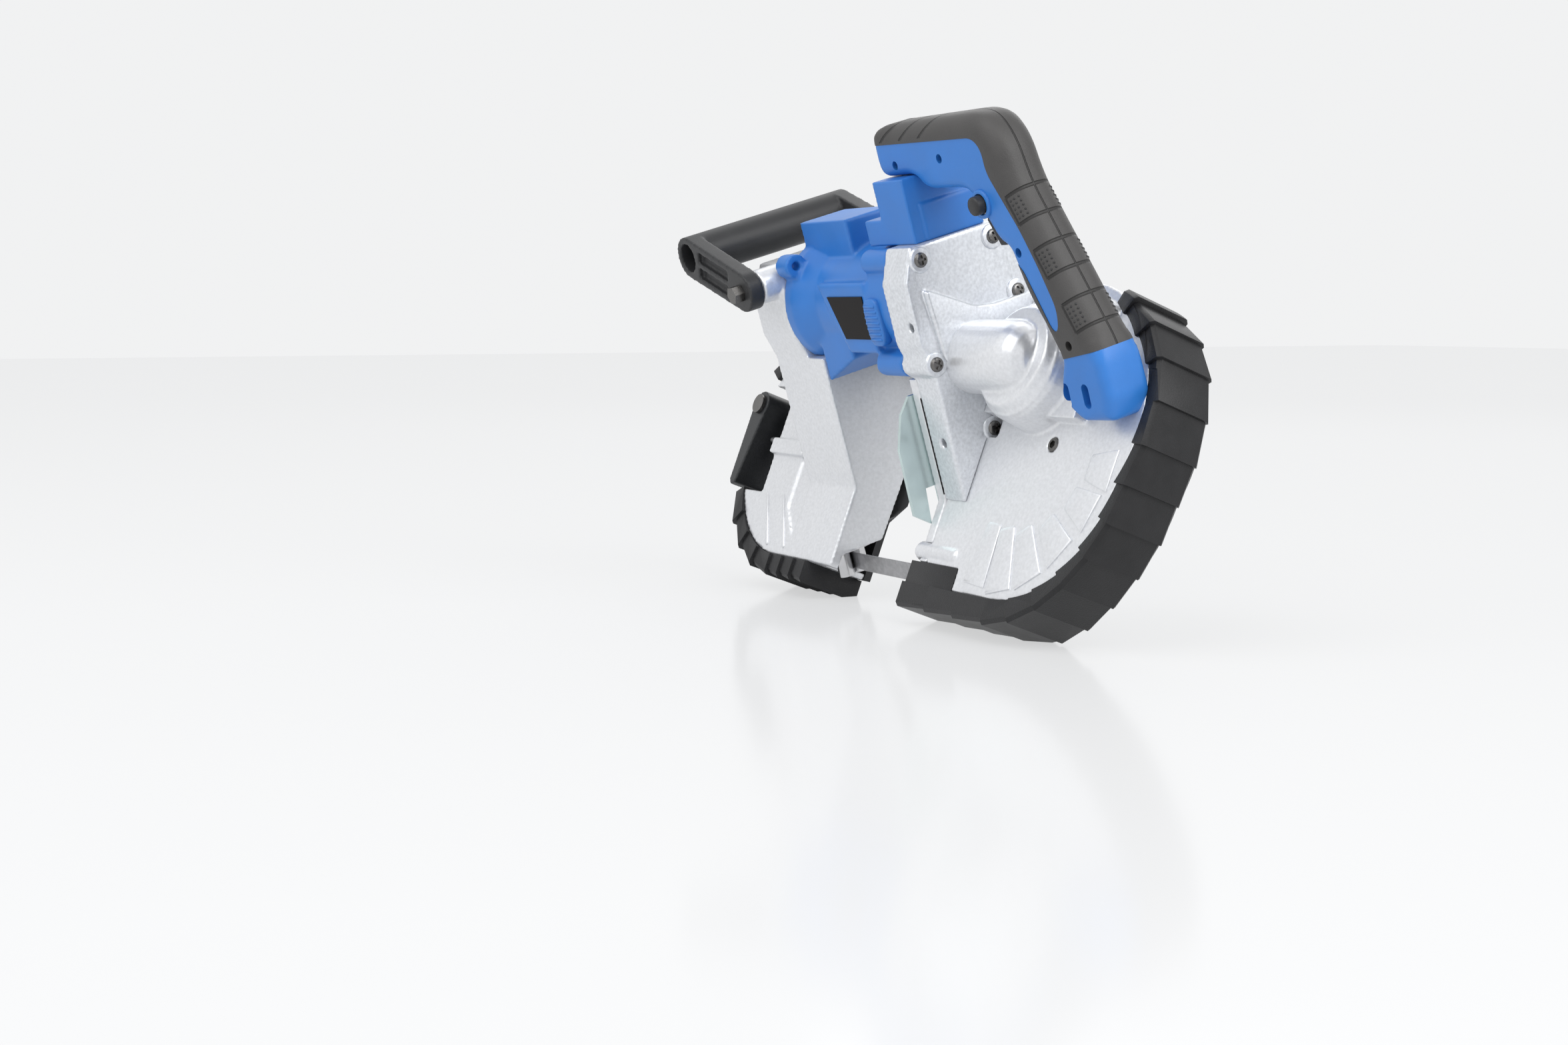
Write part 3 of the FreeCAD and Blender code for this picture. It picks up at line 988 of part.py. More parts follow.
finish(group("carriage_rails", *[
    box(f"carriage_rail_{i}", ("-rail_front", low, "carriage_low"), "rail_front - rail_rear", "rail_width",
        f"{deck_floor} - carriage_low")
    for i, low in enumerate(("carriage_half + rail_gap", "-carriage_half - rail_gap - rail_width"))]),
       "wheel")
finish(ring("tension_springs", "x", ("-spring_front", "0", "tension_level"), "spring_radius",
            "tension_rod + run_gap",
            f"spring_front + {idler} - carriage_front - seat_gap"), "wheel")
finish(cut("tension_lever",
           fuse("lever_solid",
                rod("lever_eye", "z", ("lever_along", "lever_rise", "lever_far"), "lever_radius",
                    "near_face - lever_far"),
                prism("lever_arm", "xy", [("-lever_front", "lever_rise"),
                                          ("-lever_front", "lever_tip_low + lever_tip_drop"),
                                          ("-lever_front + lever_tip_drop", "lever_tip_low"),
                                          ("lever_tip", "lever_tip_low + lever_tip_drop / 2"),
                                          ("-lever_inner", "lever_rise")], "lever_far",
                      "near_face - lever_far")),
           rod("lever_bore", "z", ("lever_along", "lever_rise", "lever_far - over"), "lever_pin + run_gap",
               "near_face - lever_far + 2 * over")), "wheel")
finish(fuse("lever_pin",
            rod("lever_pin_shank", "z", ("lever_along", "lever_rise", f"{lever_lug_top}"), "lever_pin",
                f"lever_pin_top - ({lever_lug_top})"),
            rod("lever_pin_head", "z", ("lever_along", "lever_rise", "near_face + pin_gap"), "2 * lever_pin",
                "lever_pin_top - near_face - pin_gap")), "wheel")

# The blade guides: a block under each throat wall with two steel rollers that pinch the blade upright
blade_line = "(wheel_radius + blade_clearance + blade_thickness / 2)"
blade_across = f"-{blade_line} * sin(twist)"
for end, face in (("front", "-throat_front - throat_wall - guide_length - 2 * seat_gap"),
                  ("rear", "case_joint")):
    middle = f"{face} + guide_inset"
    near_roller = f"{blade_across} - roller_radius - roller_gap - blade_thickness / 2"
    far_roller = f"{blade_across} + roller_radius + roller_gap + blade_thickness / 2"
    pins = [rod(f"{end}_{side}_pin", "z", (middle, across, "pin_low"), "pin_radius", "guide_high - pin_low")
            for side, across in (("near", near_roller), ("far", far_roller))]
    finish(fuse(f"{end}_guide", *pins,
                box(f"{end}_guide_block", (f"{face} + seat_gap", "guide_near", "guide_low"), "guide_length",
                    "guide_far - guide_near", "guide_high - guide_low")))
    for side, across in (("near", near_roller), ("far", far_roller)):
        finish(ring(f"{end}_{side}_roller", "z", (middle, across, "roller_low"), "roller_radius",
                    "pin_radius + run_gap", "roller_top - roller_low"))

# The shoe: a plated steel work stop that slides on two screws against the throat plate
shoe_face = "throat_rear - shoe_gap - shoe_thickness"
shoe_plate = prism("shoe_plate", "yz",
                   [("shoe_near_top", "shoe_top"), ("shoe_shoulder", "shoe_shoulder_up"),
                    ("shoe_belly", "shoe_belly_up"), ("shoe_edge", "shoe_edge_low"),
                    ("fork_near", "shoe_bottom"),
                    ("fork_inner", "slot_top"), ("fork_far", "slot_top"), ("fork_far", "shoe_bottom"),
                    ("shoe_far", "shoe_far_low"), ("shoe_far", "shoe_top")], shoe_face, "shoe_thickness")
screw_levels = ("shoe_screw_low", "shoe_screw_high")
finish(cut("shoe", shoe_plate, *[
    box(f"shoe_slot_{i}", (f"{shoe_face} - over", "shoe_screw_across - shoe_slot_half",
                           f"{level} - shoe_slot_length / 2"),
        "shoe_thickness + 2 * over", "2 * shoe_slot_half", "shoe_slot_length")
    for i, level in enumerate(screw_levels)]))
finish(group("shoe_screws", *[
    fuse(f"shoe_screw_{i}",
         rod(f"shoe_screw_shank_{i}", "x", (shoe_face, "shoe_screw_across", level), "shoe_screw",
             "shoe_thickness + shoe_gap - seat_gap"),
         rod(f"shoe_screw_head_{i}", "x", (f"{shoe_face} - shoe_head_height - shoe_gap", "shoe_screw_across",
                                           level),
             "shoe_head", "shoe_head_height"),
         rod(f"shoe_screw_neck_{i}", "x", (f"{shoe_face} - shoe_gap", "shoe_screw_across", level),
             "shoe_screw",
             "shoe_gap")) for i, level in enumerate(screw_levels)]))

# Fasteners that show: gear case screws, handle screws and the hex plug by the drive spindle
finish(group("gear_case_screws", *[
    rod(f"case_screw_{i}", "x", ("case_end + seat_gap",) + place, "case_screw_head", "case_screw_height")
    for i, place in enumerate(lug_places + [lobe])]))
finish(group("handle_screws", *[
    rod(f"handle_screw_{i}", "y", (x, "-half_width + screw_recess - handle_screw_length - seat_gap", z),
        "handle_screw", "handle_screw_length") for i, (x, z) in enumerate(screw_places)]))
finish(group("hex_plug", rod("plug_rod", "z", ("plug_along", "plug_rise",
                                               "near_face - plug_depth + seat_gap"),
                             "plug_radius", "plug_depth")), "wheel")

doc.recompute()
for item in doc.Objects:
    if any(word in item.State for word in ("Invalid", "Error")):
        raise RuntimeError(f"{item.Label} failed: {item.State}")
for piece in finished:
    if piece.Shape.isNull() or not piece.Shape.isValid():
        raise RuntimeError(f"{piece.Label} has no valid shape")
os.makedirs("parts", exist_ok=True)
for piece in finished:
    piece.Shape.exportStep(f"parts/{piece.Label}.step")
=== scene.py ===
import json
import math

import bmesh
import bpy
import numpy as np
from mathutils import Matrix, Vector
from mathutils.geometry import delaunay_2d_cdt

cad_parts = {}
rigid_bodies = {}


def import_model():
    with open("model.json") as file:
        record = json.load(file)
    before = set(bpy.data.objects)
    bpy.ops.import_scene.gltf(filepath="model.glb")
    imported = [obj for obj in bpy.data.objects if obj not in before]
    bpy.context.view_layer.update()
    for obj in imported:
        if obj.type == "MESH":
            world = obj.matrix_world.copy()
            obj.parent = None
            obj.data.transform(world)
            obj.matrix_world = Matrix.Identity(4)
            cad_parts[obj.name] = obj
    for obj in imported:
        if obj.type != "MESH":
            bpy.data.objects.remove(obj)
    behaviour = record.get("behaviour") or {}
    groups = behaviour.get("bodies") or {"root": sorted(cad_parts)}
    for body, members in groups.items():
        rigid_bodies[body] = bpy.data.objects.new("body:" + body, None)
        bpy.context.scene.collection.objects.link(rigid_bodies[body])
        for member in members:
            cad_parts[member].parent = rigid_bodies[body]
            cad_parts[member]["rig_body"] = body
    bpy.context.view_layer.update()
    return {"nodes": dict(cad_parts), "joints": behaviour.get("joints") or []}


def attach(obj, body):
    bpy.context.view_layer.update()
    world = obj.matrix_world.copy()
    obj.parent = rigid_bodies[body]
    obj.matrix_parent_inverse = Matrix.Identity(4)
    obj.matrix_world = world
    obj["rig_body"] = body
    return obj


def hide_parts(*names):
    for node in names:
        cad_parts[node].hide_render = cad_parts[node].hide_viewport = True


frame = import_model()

# The studio: a plain pale table under broad soft lamps, with white air behind it. The camera stands off the
# handle's end, a little above the middle of the saw, and sees it as the photograph does.
scene = bpy.context.scene
scene.view_settings.view_transform = "Standard"
joints = {joint["name"]: joint for joint in frame["joints"]}
saw_middle = (Vector(joints["drive_wheel_spin"]["pos_m"]) + Vector(joints["idler_wheel_spin"]["pos_m"])) / 2
camera_from_middle = Vector((1.34325, -0.84807, 0.11072))
camera_looks_along = Vector((-0.8774, 0.4699, -0.0971))
white_air = (0.88, 0.885, 0.89, 1)


def seen_rays(nodes, join):
    """One for rays from the camera, from gloss and through glass, nought for the rays that carry light."""
    path = nodes.new("ShaderNodeLightPath")
    either = nodes.new("ShaderNodeMath")
    either.operation = "MAXIMUM"
    join(path.outputs["Is Camera Ray"], either.inputs[0])
    join(path.outputs["Is Glossy Ray"], either.inputs[1])
    all_seen = nodes.new("ShaderNodeMath")
    all_seen.operation = "MAXIMUM"
    join(either.outputs[0], all_seen.inputs[0])
    join(path.outputs["Is Transmission Ray"], all_seen.inputs[1])
    return all_seen.outputs[0]


table_white = bpy.data.materials.new("table_white")
table_white.use_nodes = True
nodes = table_white.node_tree.nodes
join = table_white.node_tree.links.new
paper = nodes["Principled BSDF"]
paper.inputs["Base Color"].default_value = (0.80, 0.805, 0.81, 1)
paper.inputs["Roughness"].default_value = 0.14
lift = nodes.new("ShaderNodeEmission")
lift.inputs["Color"].default_value = (0.90, 0.905, 0.91, 1)
both = nodes.new("ShaderNodeMixShader")
share = nodes.new("ShaderNodeMath")
share.operation = "MULTIPLY"
share.inputs[1].default_value = 0.65
join(seen_rays(nodes, join), share.inputs[0])
join(share.outputs[0], both.inputs["Fac"])
join(paper.outputs["BSDF"], both.inputs[1])
join(lift.outputs["Emission"], both.inputs[2])
join(both.outputs["Shader"], nodes["Material Output"].inputs["Surface"])
table_mesh = bpy.data.meshes.new("table_top")
table_mesh.from_pydata([(-9, -9, 0), (9, -9, 0), (9, 9, 0), (-9, 9, 0)], [], [(0, 1, 2, 3)])
table = bpy.data.objects.new("table_top", table_mesh)
scene.collection.objects.link(table)
table_mesh.materials.append(table_white)

for name, place, width, watts in (("key_lamp", (0.5, -1.7, 2.3), 2.4, 34), ("end_lamp", (2.4, 0.3, 1.6), 2.0, 52),
                                  ("back_lamp", (-1.4, 1.6, 2.2), 2.2, 20), ("side_lamp", (-0.5, -2.2, 0.55), 2.0, 15)):
    light = bpy.data.lights.new(name, "AREA")
    light.size = width
    light.energy = watts
    lamp = bpy.data.objects.new(name, light)
    scene.collection.objects.link(lamp)
    lamp.location = place
    lamp.visible_glossy = name != "side_lamp"
    lamp.rotation_euler = (Vector((0, 0, 0.15)) - Vector(place)).to_track_quat("-Z", "Y").to_euler()

studio_air = bpy.data.worlds.new("studio_air")
studio_air.use_nodes = True
nodes = studio_air.node_tree.nodes
join = studio_air.node_tree.links.new
nodes["Background"].inputs["Color"].default_value = (0.90, 0.91, 0.93, 1)
nodes["Background"].inputs["Strength"].default_value = 0.52
wall = nodes.new("ShaderNodeBackground")
wall.inputs["Color"].default_value = white_air
mix = nodes.new("ShaderNodeMixShader")
join(seen_rays(nodes, join), mix.inputs["Fac"])
join(nodes["Background"].outputs["Background"], mix.inputs[1])
join(wall.outputs["Background"], mix.inputs[2])
join(mix.outputs["Shader"], nodes["World Output"].inputs["Surface"])
scene.world = studio_air

lens = bpy.data.cameras.new("photo_lens")
lens.lens = 50
lens.sensor_width = 36
camera = bpy.data.objects.new("photo_camera", lens)
scene.collection.objects.link(camera)
camera.location = saw_middle + camera_from_middle
camera.rotation_euler = camera_looks_along.to_track_quat("-Z", "Y").to_euler()
scene.camera = camera

# The wheels inside the housing: spoked die castings with rubber tyres, on steel axles in ball bearings,
# with the gear train that drives the rear one. They show only where a cover lets them.


def finish_of(name, colour, roughness, metallic=0.0, mottling=0.08, mottle_size=0.02, grain_size=0.0008,
              grain_depth=0.15, sheen_level=0.5):
    """A finish whose colour and gloss drift a little over the surface, with a fine grain in its relief."""
    material = bpy.data.materials.new(name)
    material.use_nodes = True
    nodes = material.node_tree.nodes
    join = material.node_tree.links.new
    shader = nodes["Principled BSDF"]
    shader.inputs["Metallic"].default_value = metallic
    shader.inputs["Specular IOR Level"].default_value = sheen_level
    place = nodes.new("ShaderNodeTexCoord")
    drift = nodes.new("ShaderNodeTexNoise")
    drift.inputs["Scale"].default_value = 1 / mottle_size
    drift.inputs["Detail"].default_value = 5
    join(place.outputs["Object"], drift.inputs["Vector"])
    tint = nodes.new("ShaderNodeValToRGB")
    for stop, share in zip(tint.color_ramp.elements, (1 - mottling, 1 + mottling)):
        stop.color = (*(min(1, channel * share) for channel in colour), 1)
    tint.color_ramp.elements[0].position = 0.3
    tint.color_ramp.elements[1].position = 0.7
    join(drift.outputs["Fac"], tint.inputs["Fac"])
    join(tint.outputs["Color"], shader.inputs["Base Color"])
    gloss = nodes.new("ShaderNodeMapRange")
    gloss.inputs["To Min"].default_value = roughness * 0.85
    gloss.inputs["To Max"].default_value = min(1, roughness * 1.15)
    join(drift.outputs["Fac"], gloss.inputs["Value"])
    join(gloss.outputs["Result"], shader.inputs["Roughness"])
    pits = nodes.new("ShaderNodeTexNoise")
    pits.inputs["Scale"].default_value = 1 / grain_size
    pits.inputs["Detail"].default_value = 2
    join(place.outputs["Object"], pits.inputs["Vector"])
    relief = nodes.new("ShaderNodeBump")
    relief.name = "grain"
    relief.inputs["Strength"].default_value = grain_depth
    relief.inputs["Distance"].default_value = grain_size
    join(pits.outputs["Fac"], relief.inputs["Height"])
    join(relief.outputs["Normal"], shader.inputs["Normal"])
    return material


def dress(material, *node_names):
    """Give CAD nodes their finish."""
    for node_name in node_names:
        for place in frame["nodes"][node_name].material_slots:
            place.material = material


silver_paint = finish_of("silver_paint", (0.74, 0.75, 0.77), 0.34, 0.55, mottling=0.06, mottle_size=0.0024,
                         grain_size=0.0016, grain_depth=0.05)
bright_steel = finish_of("bright_steel", (0.62, 0.62, 0.63), 0.24, 1.0, grain_size=0.0006, grain_depth=0.05)
gear_steel = finish_of("gear_steel", (0.42, 0.42, 0.43), 0.34, 1.0, mottling=0.12, grain_depth=0.1)
tyre_rubber = finish_of("tyre_rubber", (0.03, 0.028, 0.026), 0.7, grain_depth=0.3)
dress(silver_paint, "drive_wheel", "idler_wheel")
dress(tyre_rubber, "drive_tyre", "idler_tyre")
dress(bright_steel, "drive_spindle", "spindle_bearing", "idler_axle", "idler_bearing", "tension_springs",
      "front_motor_bearing", "rear_motor_bearing")
dress(gear_steel, "wheel_gear", "bevel_gear_shaft", "intermediate_shaft", "motor_pinion", "idler_carriage",
      "carriage_rails")

# The motor's inner parts: a laminated iron stator pressed into the housing, an iron armature that turns in it, and a
# moulded fan on the armature's shaft. The housing hides them all.
motor_iron = finish_of("motor_iron", (0.30, 0.29, 0.28), 0.45, 0.9, mottling=0.15, mottle_size=0.006)
fan_black = finish_of("fan_black", (0.028, 0.028, 0.03), 0.45, grain_depth=0.12)
dress(motor_iron, "motor_stator", "motor_armature")
dress(fan_black, "motor_fan")

# The front frame: an aluminium die casting in silver paint, with soft cast edges. It holds the idler wheel,
# the motor's front end and the front handle's lugs. Two thin ribs stiffen the lower part of its deck.


def merged_copy(node_name):
    """A CAD node's triangles with their corners joined, as a mesh to work on."""
    loose = bmesh.new()
    loose.from_mesh(frame["nodes"][node_name].data)
    bmesh.ops.remove_doubles(loose, verts=loose.verts, dist=0.00002)
    return loose


def linked(name, mesh):
    """A mesh as an object in the scene."""
    piece = bpy.data.objects.new(name, mesh)
    scene.collection.objects.link(piece)
    return piece


def settled(name, form, material):
    """The plain mesh that a form and its modifiers come to, in one finish."""
    shape = bpy.data.meshes.new_from_object(form.evaluated_get(bpy.context.evaluated_depsgraph_get()))
    shape.name = name
    shape.materials.clear()
    shape.materials.append(material)
    shape.polygons.foreach_set("use_smooth", [True] * len(shape.polygons))
    bpy.data.objects.remove(form)
    return linked(name, shape)


def stands_for(piece, node_name):
    """Put a piece in the place of its CAD node, on the same body."""
    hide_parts(node_name)
    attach(piece, frame["nodes"][node_name]["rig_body"])


def formed(name, shape):
    """A mesh that has been built up, as an object."""
    mesh = bpy.data.meshes.new(name)
    shape.to_mesh(mesh)
    shape.free()
    return linked(name, mesh)


def soft_cast(name, node_name, voxel, rounds, share, material, more=(), less=()):
    """A CAD node's shape, with more solids cast on or left out, and edges rounded as a mould leaves them."""
    form = formed(name + "_form", merged_copy(node_name))
    for operation, solids in (("UNION", more), ("DIFFERENCE", less)):
        for i, solid in enumerate(solids):
            change = form.modifiers.new("change", "BOOLEAN")
            change.operation = operation
            change.solver = "EXACT"
            change.object = formed(f"{name}_{operation.lower()}_{i}", solid)
    grid = form.modifiers.new("grid", "REMESH")
    grid.mode = "VOXEL"
    grid.voxel_size = voxel
    ease = form.modifiers.new("ease", "SMOOTH")
    ease.factor = 0.5
    ease.iterations = rounds
    thin = form.modifiers.new("thin", "DECIMATE")
    thin.ratio = share
    cast_on = [modifier.object for modifier in form.modifiers if modifier.type == "BOOLEAN"]
    piece = settled(name, form, material)
    for solid in cast_on:
        bpy.data.objects.remove(solid)
    stands_for(piece, node_name)
    return piece


spindle_way = Vector(joints["drive_wheel_spin"]["axis"]).normalized()
blade_way = Vector((1, 0, 0))
wheel_way = spindle_way.cross(blade_way)


def on_wheels(along, rise, level):
    """A place given in millimetres along the blade, up the wheels' plane and out along their spindles."""
    return saw_middle + (blade_way * along + wheel_way * rise + spindle_way * level) * 0.001


def copying_tree():
    """Sets out copies of one small shape at points that carry their own turn and stretch."""
    tree = bpy.data.node_groups.new("set_out_copies", "GeometryNodeTree")
    for socket, kind in (("Places", "NodeSocketGeometry"), ("Shape", "NodeSocketObject"),
                         ("Size", "NodeSocketFloat"), ("Finish", "NodeSocketMaterial")):
        tree.interface.new_socket(socket, in_out="INPUT", socket_type=kind)
    tree.interface.new_socket("Copies", in_out="OUTPUT", socket_type="NodeSocketGeometry")
    nodes = tree.nodes
    join = tree.links.new
    given = nodes.new("NodeGroupInput")
    shape = nodes.new("GeometryNodeObjectInfo")
    join(given.outputs["Shape"], shape.inputs["Object"])
    turn = nodes.new("GeometryNodeInputNamedAttribute")
    turn.data_type = "FLOAT_VECTOR"
    turn.inputs["Name"].default_value = "turn"
    stretch = nodes.new("GeometryNodeInputNamedAttribute")
    stretch.data_type = "FLOAT_VECTOR"
    stretch.inputs["Name"].default_value = "stretch"
    grow = nodes.new("ShaderNodeVectorMath")
    grow.operation = "SCALE"
    join(stretch.outputs["Attribute"], grow.inputs[0])
    join(given.outputs["Size"], grow.inputs["Scale"])
    copies = nodes.new("GeometryNodeInstanceOnPoints")
    join(given.outputs["Places"], copies.inputs["Points"])
    join(shape.outputs["Geometry"], copies.inputs["Instance"])
    join(turn.outputs["Attribute"], copies.inputs["Rotation"])
    join(grow.outputs["Vector"], copies.inputs["Scale"])
    real = nodes.new("GeometryNodeRealizeInstances")
    join(copies.outputs["Instances"], real.inputs["Geometry"])
    coat = nodes.new("GeometryNodeSetMaterial")
    join(real.outputs["Geometry"], coat.inputs["Geometry"])
    join(given.outputs["Finish"], coat.inputs["Material"])
    made = nodes.new("NodeGroupOutput")
    join(coat.outputs["Geometry"], made.inputs["Copies"])
    return tree


set_out_copies = copying_tree()


def set_out(name, shape, places, material):
    """Copies of a small shape at places, each a point, a turn and a stretch, as one piece."""
    points = bpy.data.meshes.new(name + "_points")
    points.from_pydata([place for place, turn, stretch in places], [], [])
    for attribute, values in (("turn", [turn for place, turn, stretch in places]),
                              ("stretch", [stretch for place, turn, stretch in places])):
        row = points.attributes.new(attribute, "FLOAT_VECTOR", "POINT")
        row.data.foreach_set("vector", [number for value in values for number in value])
    form = linked(name + "_form", points)
    copier = form.modifiers.new("copier", "NODES")
    copier.node_group = set_out_copies
    wanted = {"Shape": shape, "Size": 1.0, "Finish": material}
    for socket in set_out_copies.interface.items_tree:
        if socket.name in wanted:
            copier[socket.identifier] = wanted[socket.name]
    piece = settled(name, form, material)
    bpy.data.objects.remove(shape)
    return piece


def turned_to(upward, along):
    """The turn that stands a shape's z along one direction and its x along another."""
    side = upward.cross(along).normalized()
    return Matrix((side.cross(upward), side, upward)).transposed().to_euler()


def skinned(shape, rows):
    """Close a row of rings in a mesh into a solid."""
    for first, second in zip(rows, rows[1:]):
        for i in range(len(first)):
            shape.faces.new((first[i - 1], first[i], second[i], second[i - 1]))
    shape.faces.new(rows[0][::-1])
    shape.faces.new(rows[-1])
    bmesh.ops.recalc_face_normals(shape, faces=shape.faces)


def rib_shape(name, width, height):
    """A low rounded rib one metre long, sunk a little into what carries it."""
    profile = [(math.cos(math.pi * i / 8) * width / 2, math.sin(math.pi * i / 8) * height) for i in range(9)]
    profile += [(-width / 2, -height), (width / 2, -height)]
    shape = bmesh.new()
    skinned(shape, [[shape.verts.new((end, across * narrow, up * narrow)) for across, up in profile]
                    for end, narrow in ((-0.5, 0.3), (-0.47, 1), (0.47, 1), (0.5, 0.3))])
    return formed(name, shape)


def rib_between(start, end):
    """A rib's place on a deck from one point to another."""
    run = end - start
    return (start + end) / 2, turned_to(spindle_way, run.normalized()), (run.length, 1, 1)


near_level = 25
front_casting = soft_cast("front_casting", "front_frame", 0.0015, 3, 0.4, silver_paint)
front_ribs = set_out("front_ribs", rib_shape("front_rib", 0.0034, 0.0011),
                     [rib_between(on_wheels(along, -46, near_level), on_wheels(along + 27, -88, near_level))
                      for along in (-193, -166)], silver_paint)
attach(front_ribs, "frame")

# The rear frame and the throat plate: the same cast aluminium, round the drive wheel and the gear shaft's dome.
# A fan of low raised panels spreads over the deck towards the bumper.


def round_solid(shape, profile, base, upward, steps=32):
    """Add a closed turned solid to a mesh. Its profile gives a radius at each height from the base, in millimetres."""
    side = upward.orthogonal().normalized()
    other = upward.cross(side)
    rows = []
    for radius, height in profile:
        rows.append([shape.verts.new(base + (upward * height + side * radius * math.cos(2 * math.pi * i / steps)
                                             + other * radius * math.sin(2 * math.pi * i / steps)) * 0.001)
                     for i in range(steps)])
    skinned(shape, rows)


dome_profile = [(20, 0), (25.5, 1), (25.5, 50), (25.2, 58), (24.4, 66), (22.4, 73), (18.6, 79), (12.5, 83), (5, 85),
                (1, 85.3)]
collar_profile = [(43, 0), (41.5, 22), (40.5, 24), (35.5, 32.6), (34.5, 33.7), (20, 33.9)]
gear_dome, dome_collar, screw_notch = bmesh.new(), bmesh.new(), bmesh.new()
round_solid(gear_dome, dome_profile, on_wheels(80, 64, 54), blade_way)
round_solid(dome_collar, collar_profile, on_wheels(140, 64, near_level), spindle_way, 48)
round_solid(screw_notch, [(6.8, 0), (6.8, 11)], on_wheels(89.5, 23.4, 22.9), blade_way)
rear_casting = soft_cast("rear_casting", "rear_frame", 0.0012, 2, 0.35, silver_paint,
                         (gear_dome, dome_collar), (screw_notch,))
throat_casting = soft_cast("throat_casting", "throat_plate", 0.0013, 2, 0.4, silver_paint)


def fan_shape(name):
    """A low raised panel one metre long and wide, narrower towards the fan's middle, with eased edges."""
    corners = ((-1, -1, 0.5), (-0.94, -1, 0.62), (1, -1, 1), (1, 1, 1), (-0.94, 1, 0.62), (-1, 1, 0.5))
    shape = bmesh.new()
    skinned(shape, [[shape.verts.new((across * (0.5 - inset), side * (0.5 - inset) * width, height))
                     for across, side, width in corners]
                    for inset, height in ((0, -1), (0, 0.55), (0.02, 0.85), (0.055, 1))])
    return formed(name, shape)


fan_centre = (136, 4)
panel_spread = math.radians(15.5)
panel_height = 0.0014
fan_panels = []
for bearing, start, end in ((-94, 47, 91), (-76, 50, 95), (-57.5, 57, 97), (-38.5, 66, 98), (-18.5, 73, 101),
                            (-1.5, 78, 104)):
    ray = (math.cos(math.radians(bearing)), math.sin(math.radians(bearing)))
    ends = [on_wheels(fan_centre[0] + ray[0] * reach, fan_centre[1] + ray[1] * reach, near_level)
            for reach in (start, end)]
    middle, turn, stretch = rib_between(*ends)
    fan_panels.append((middle, turn, (stretch[0], 0.001 * end * panel_spread, panel_height)))
deck_fan = set_out("deck_fan", fan_shape("fan_panel"), fan_panels, silver_paint)
deck_fan.data.set_sharp_from_angle(angle=math.radians(30))
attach(deck_fan, "frame")

# The gear case: a second casting with a coarse hammered paint, screwed between motor and rear frame. Its face has a
# raised ridge and a round seat under each screw. A thin near-black strip along its joint with the throat plate is
# painted shade for the gap there.
across_way = Vector(joints["lock_button_press"]["axis"]).normalized()
up_way = Vector(joints["shoe_slide"]["axis"]).normalized()


def on_cut(along, across, up):
    """A place given in millimetres along the blade, away from the motor's side and up out of the cut."""
    return saw_middle + (blade_way * along + across_way * across + up_way * up) * 0.001


def solids_of(node_name):
    """The separate solids of a node, each as its lowest and highest corner."""
    loose = merged_copy(node_name)
    left = set(loose.verts)
    boxes = []
    while left:
        front = [left.pop()]
        island = list(front)
        while front:
            for edge in front.pop().link_edges:
                for vertex in edge.verts:
                    if vertex in left:
                        left.remove(vertex)
                        front.append(vertex)
                        island.append(vertex)
        corners = np.array([vertex.co for vertex in island])
        boxes.append((corners.min(axis=0), corners.max(axis=0)))
    loose.free()
    return sorted(boxes, key=lambda box: tuple(box[0]))


def block_solid(shape, corners, run):
    """Add a closed block to a mesh: a ring of corners carried along a run."""
    skinned(shape, [[shape.verts.new(corner + shift) for corner in corners] for shift in (Vector(), run)])


def bevelled(name, shape, width, segments, from_angle, crease, material):
    """A built-up mesh with its edges eased, as a finished piece."""
    form = formed(name + "_form", shape)
    ease = form.modifiers.new("ease", "BEVEL")
    ease.width = width
    ease.segments = segments
    ease.limit_method = "ANGLE"
    ease.angle_limit = math.radians(from_angle)
    piece = settled(name, form, material)
    piece.data.set_sharp_from_angle(angle=math.radians(crease))
    return piece


hammered_paint = finish_of("hammered_paint", (0.70, 0.72, 0.75), 0.30, 0.6, mottling=0.11, mottle_size=0.0022,
                           grain_size=0.0018, grain_depth=0.07)
case_wing = [(30, 160), (37, 158.5), (45, 146), (51, 127), (54, 108), (55, 86), (30, 84)]
case_panel = [(-34, 138), (-30, 138), (2, 118.5), (18, 115.5), (53, 115.5), (54, 88), (24, 72), (-24, 72), (-31, 92)]
gear_casting = soft_cast("gear_casting", "gear_case", 0.0012, 3, 0.4, hammered_paint)
relief = bmesh.new()
for corners, start, end in ((case_wing, 66, 89.6), (case_panel, 85, 93.6)):
    block_solid(relief, [on_cut(start, across, up) for across, up in corners], blade_way * (end - start) * 0.001)
case_relief = bevelled("case_relief", relief, 0.0022, 4, 30, 40, hammered_paint)
seat = bmesh.new()
round_solid(seat, [(8.8, -5), (8.8, 0.3), (8.4, 0.9), (7.6, 1.2), (2, 1.2)], Vector(), Vector((0, 0, 1)))
screw_places = [Vector((low[0], (low[1] + high[1]) / 2, (low[2] + high[2]) / 2))
                for low, high in solids_of("gear_case_screws")]
screw_seats = set_out("screw_seats", formed("screw_seat", seat),
                      [(place, turned_to(blade_way, up_way), (1, 1, 1)) for place in screw_places], hammered_paint)
screw_seats.data.set_sharp_from_angle(angle=math.radians(40))
for piece in (case_relief, screw_seats):
    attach(piece, "frame")
# Painted shade: a thin near-black strip laid along the joint between the gear case and the throat plate stands for the
# gap's shadow.
gap_shade_black = finish_of("gap_shade_black", (0.02, 0.02, 0.022), 0.6, grain_size=0.0006, sheen_level=0.2)
gap_shade_section = [(63.75, -40.15), (64.3, -40.15), (64.3, -34), (63.75, -34)]
sheet = bmesh.new()
block_solid(sheet, [on_cut(along, across, 64) for along, across in gap_shade_section], up_way * -0.070)
case_gasket = settled("case_gasket", formed("gasket_form", sheet), gap_shade_black)
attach(case_gasket, "frame")

# The covers on the far side of the wheels and the guard over the blade's upper run: moulded black plastic, screwed to
# the frames. The front cover's low corner towards the throat is cut off, clear of the work.


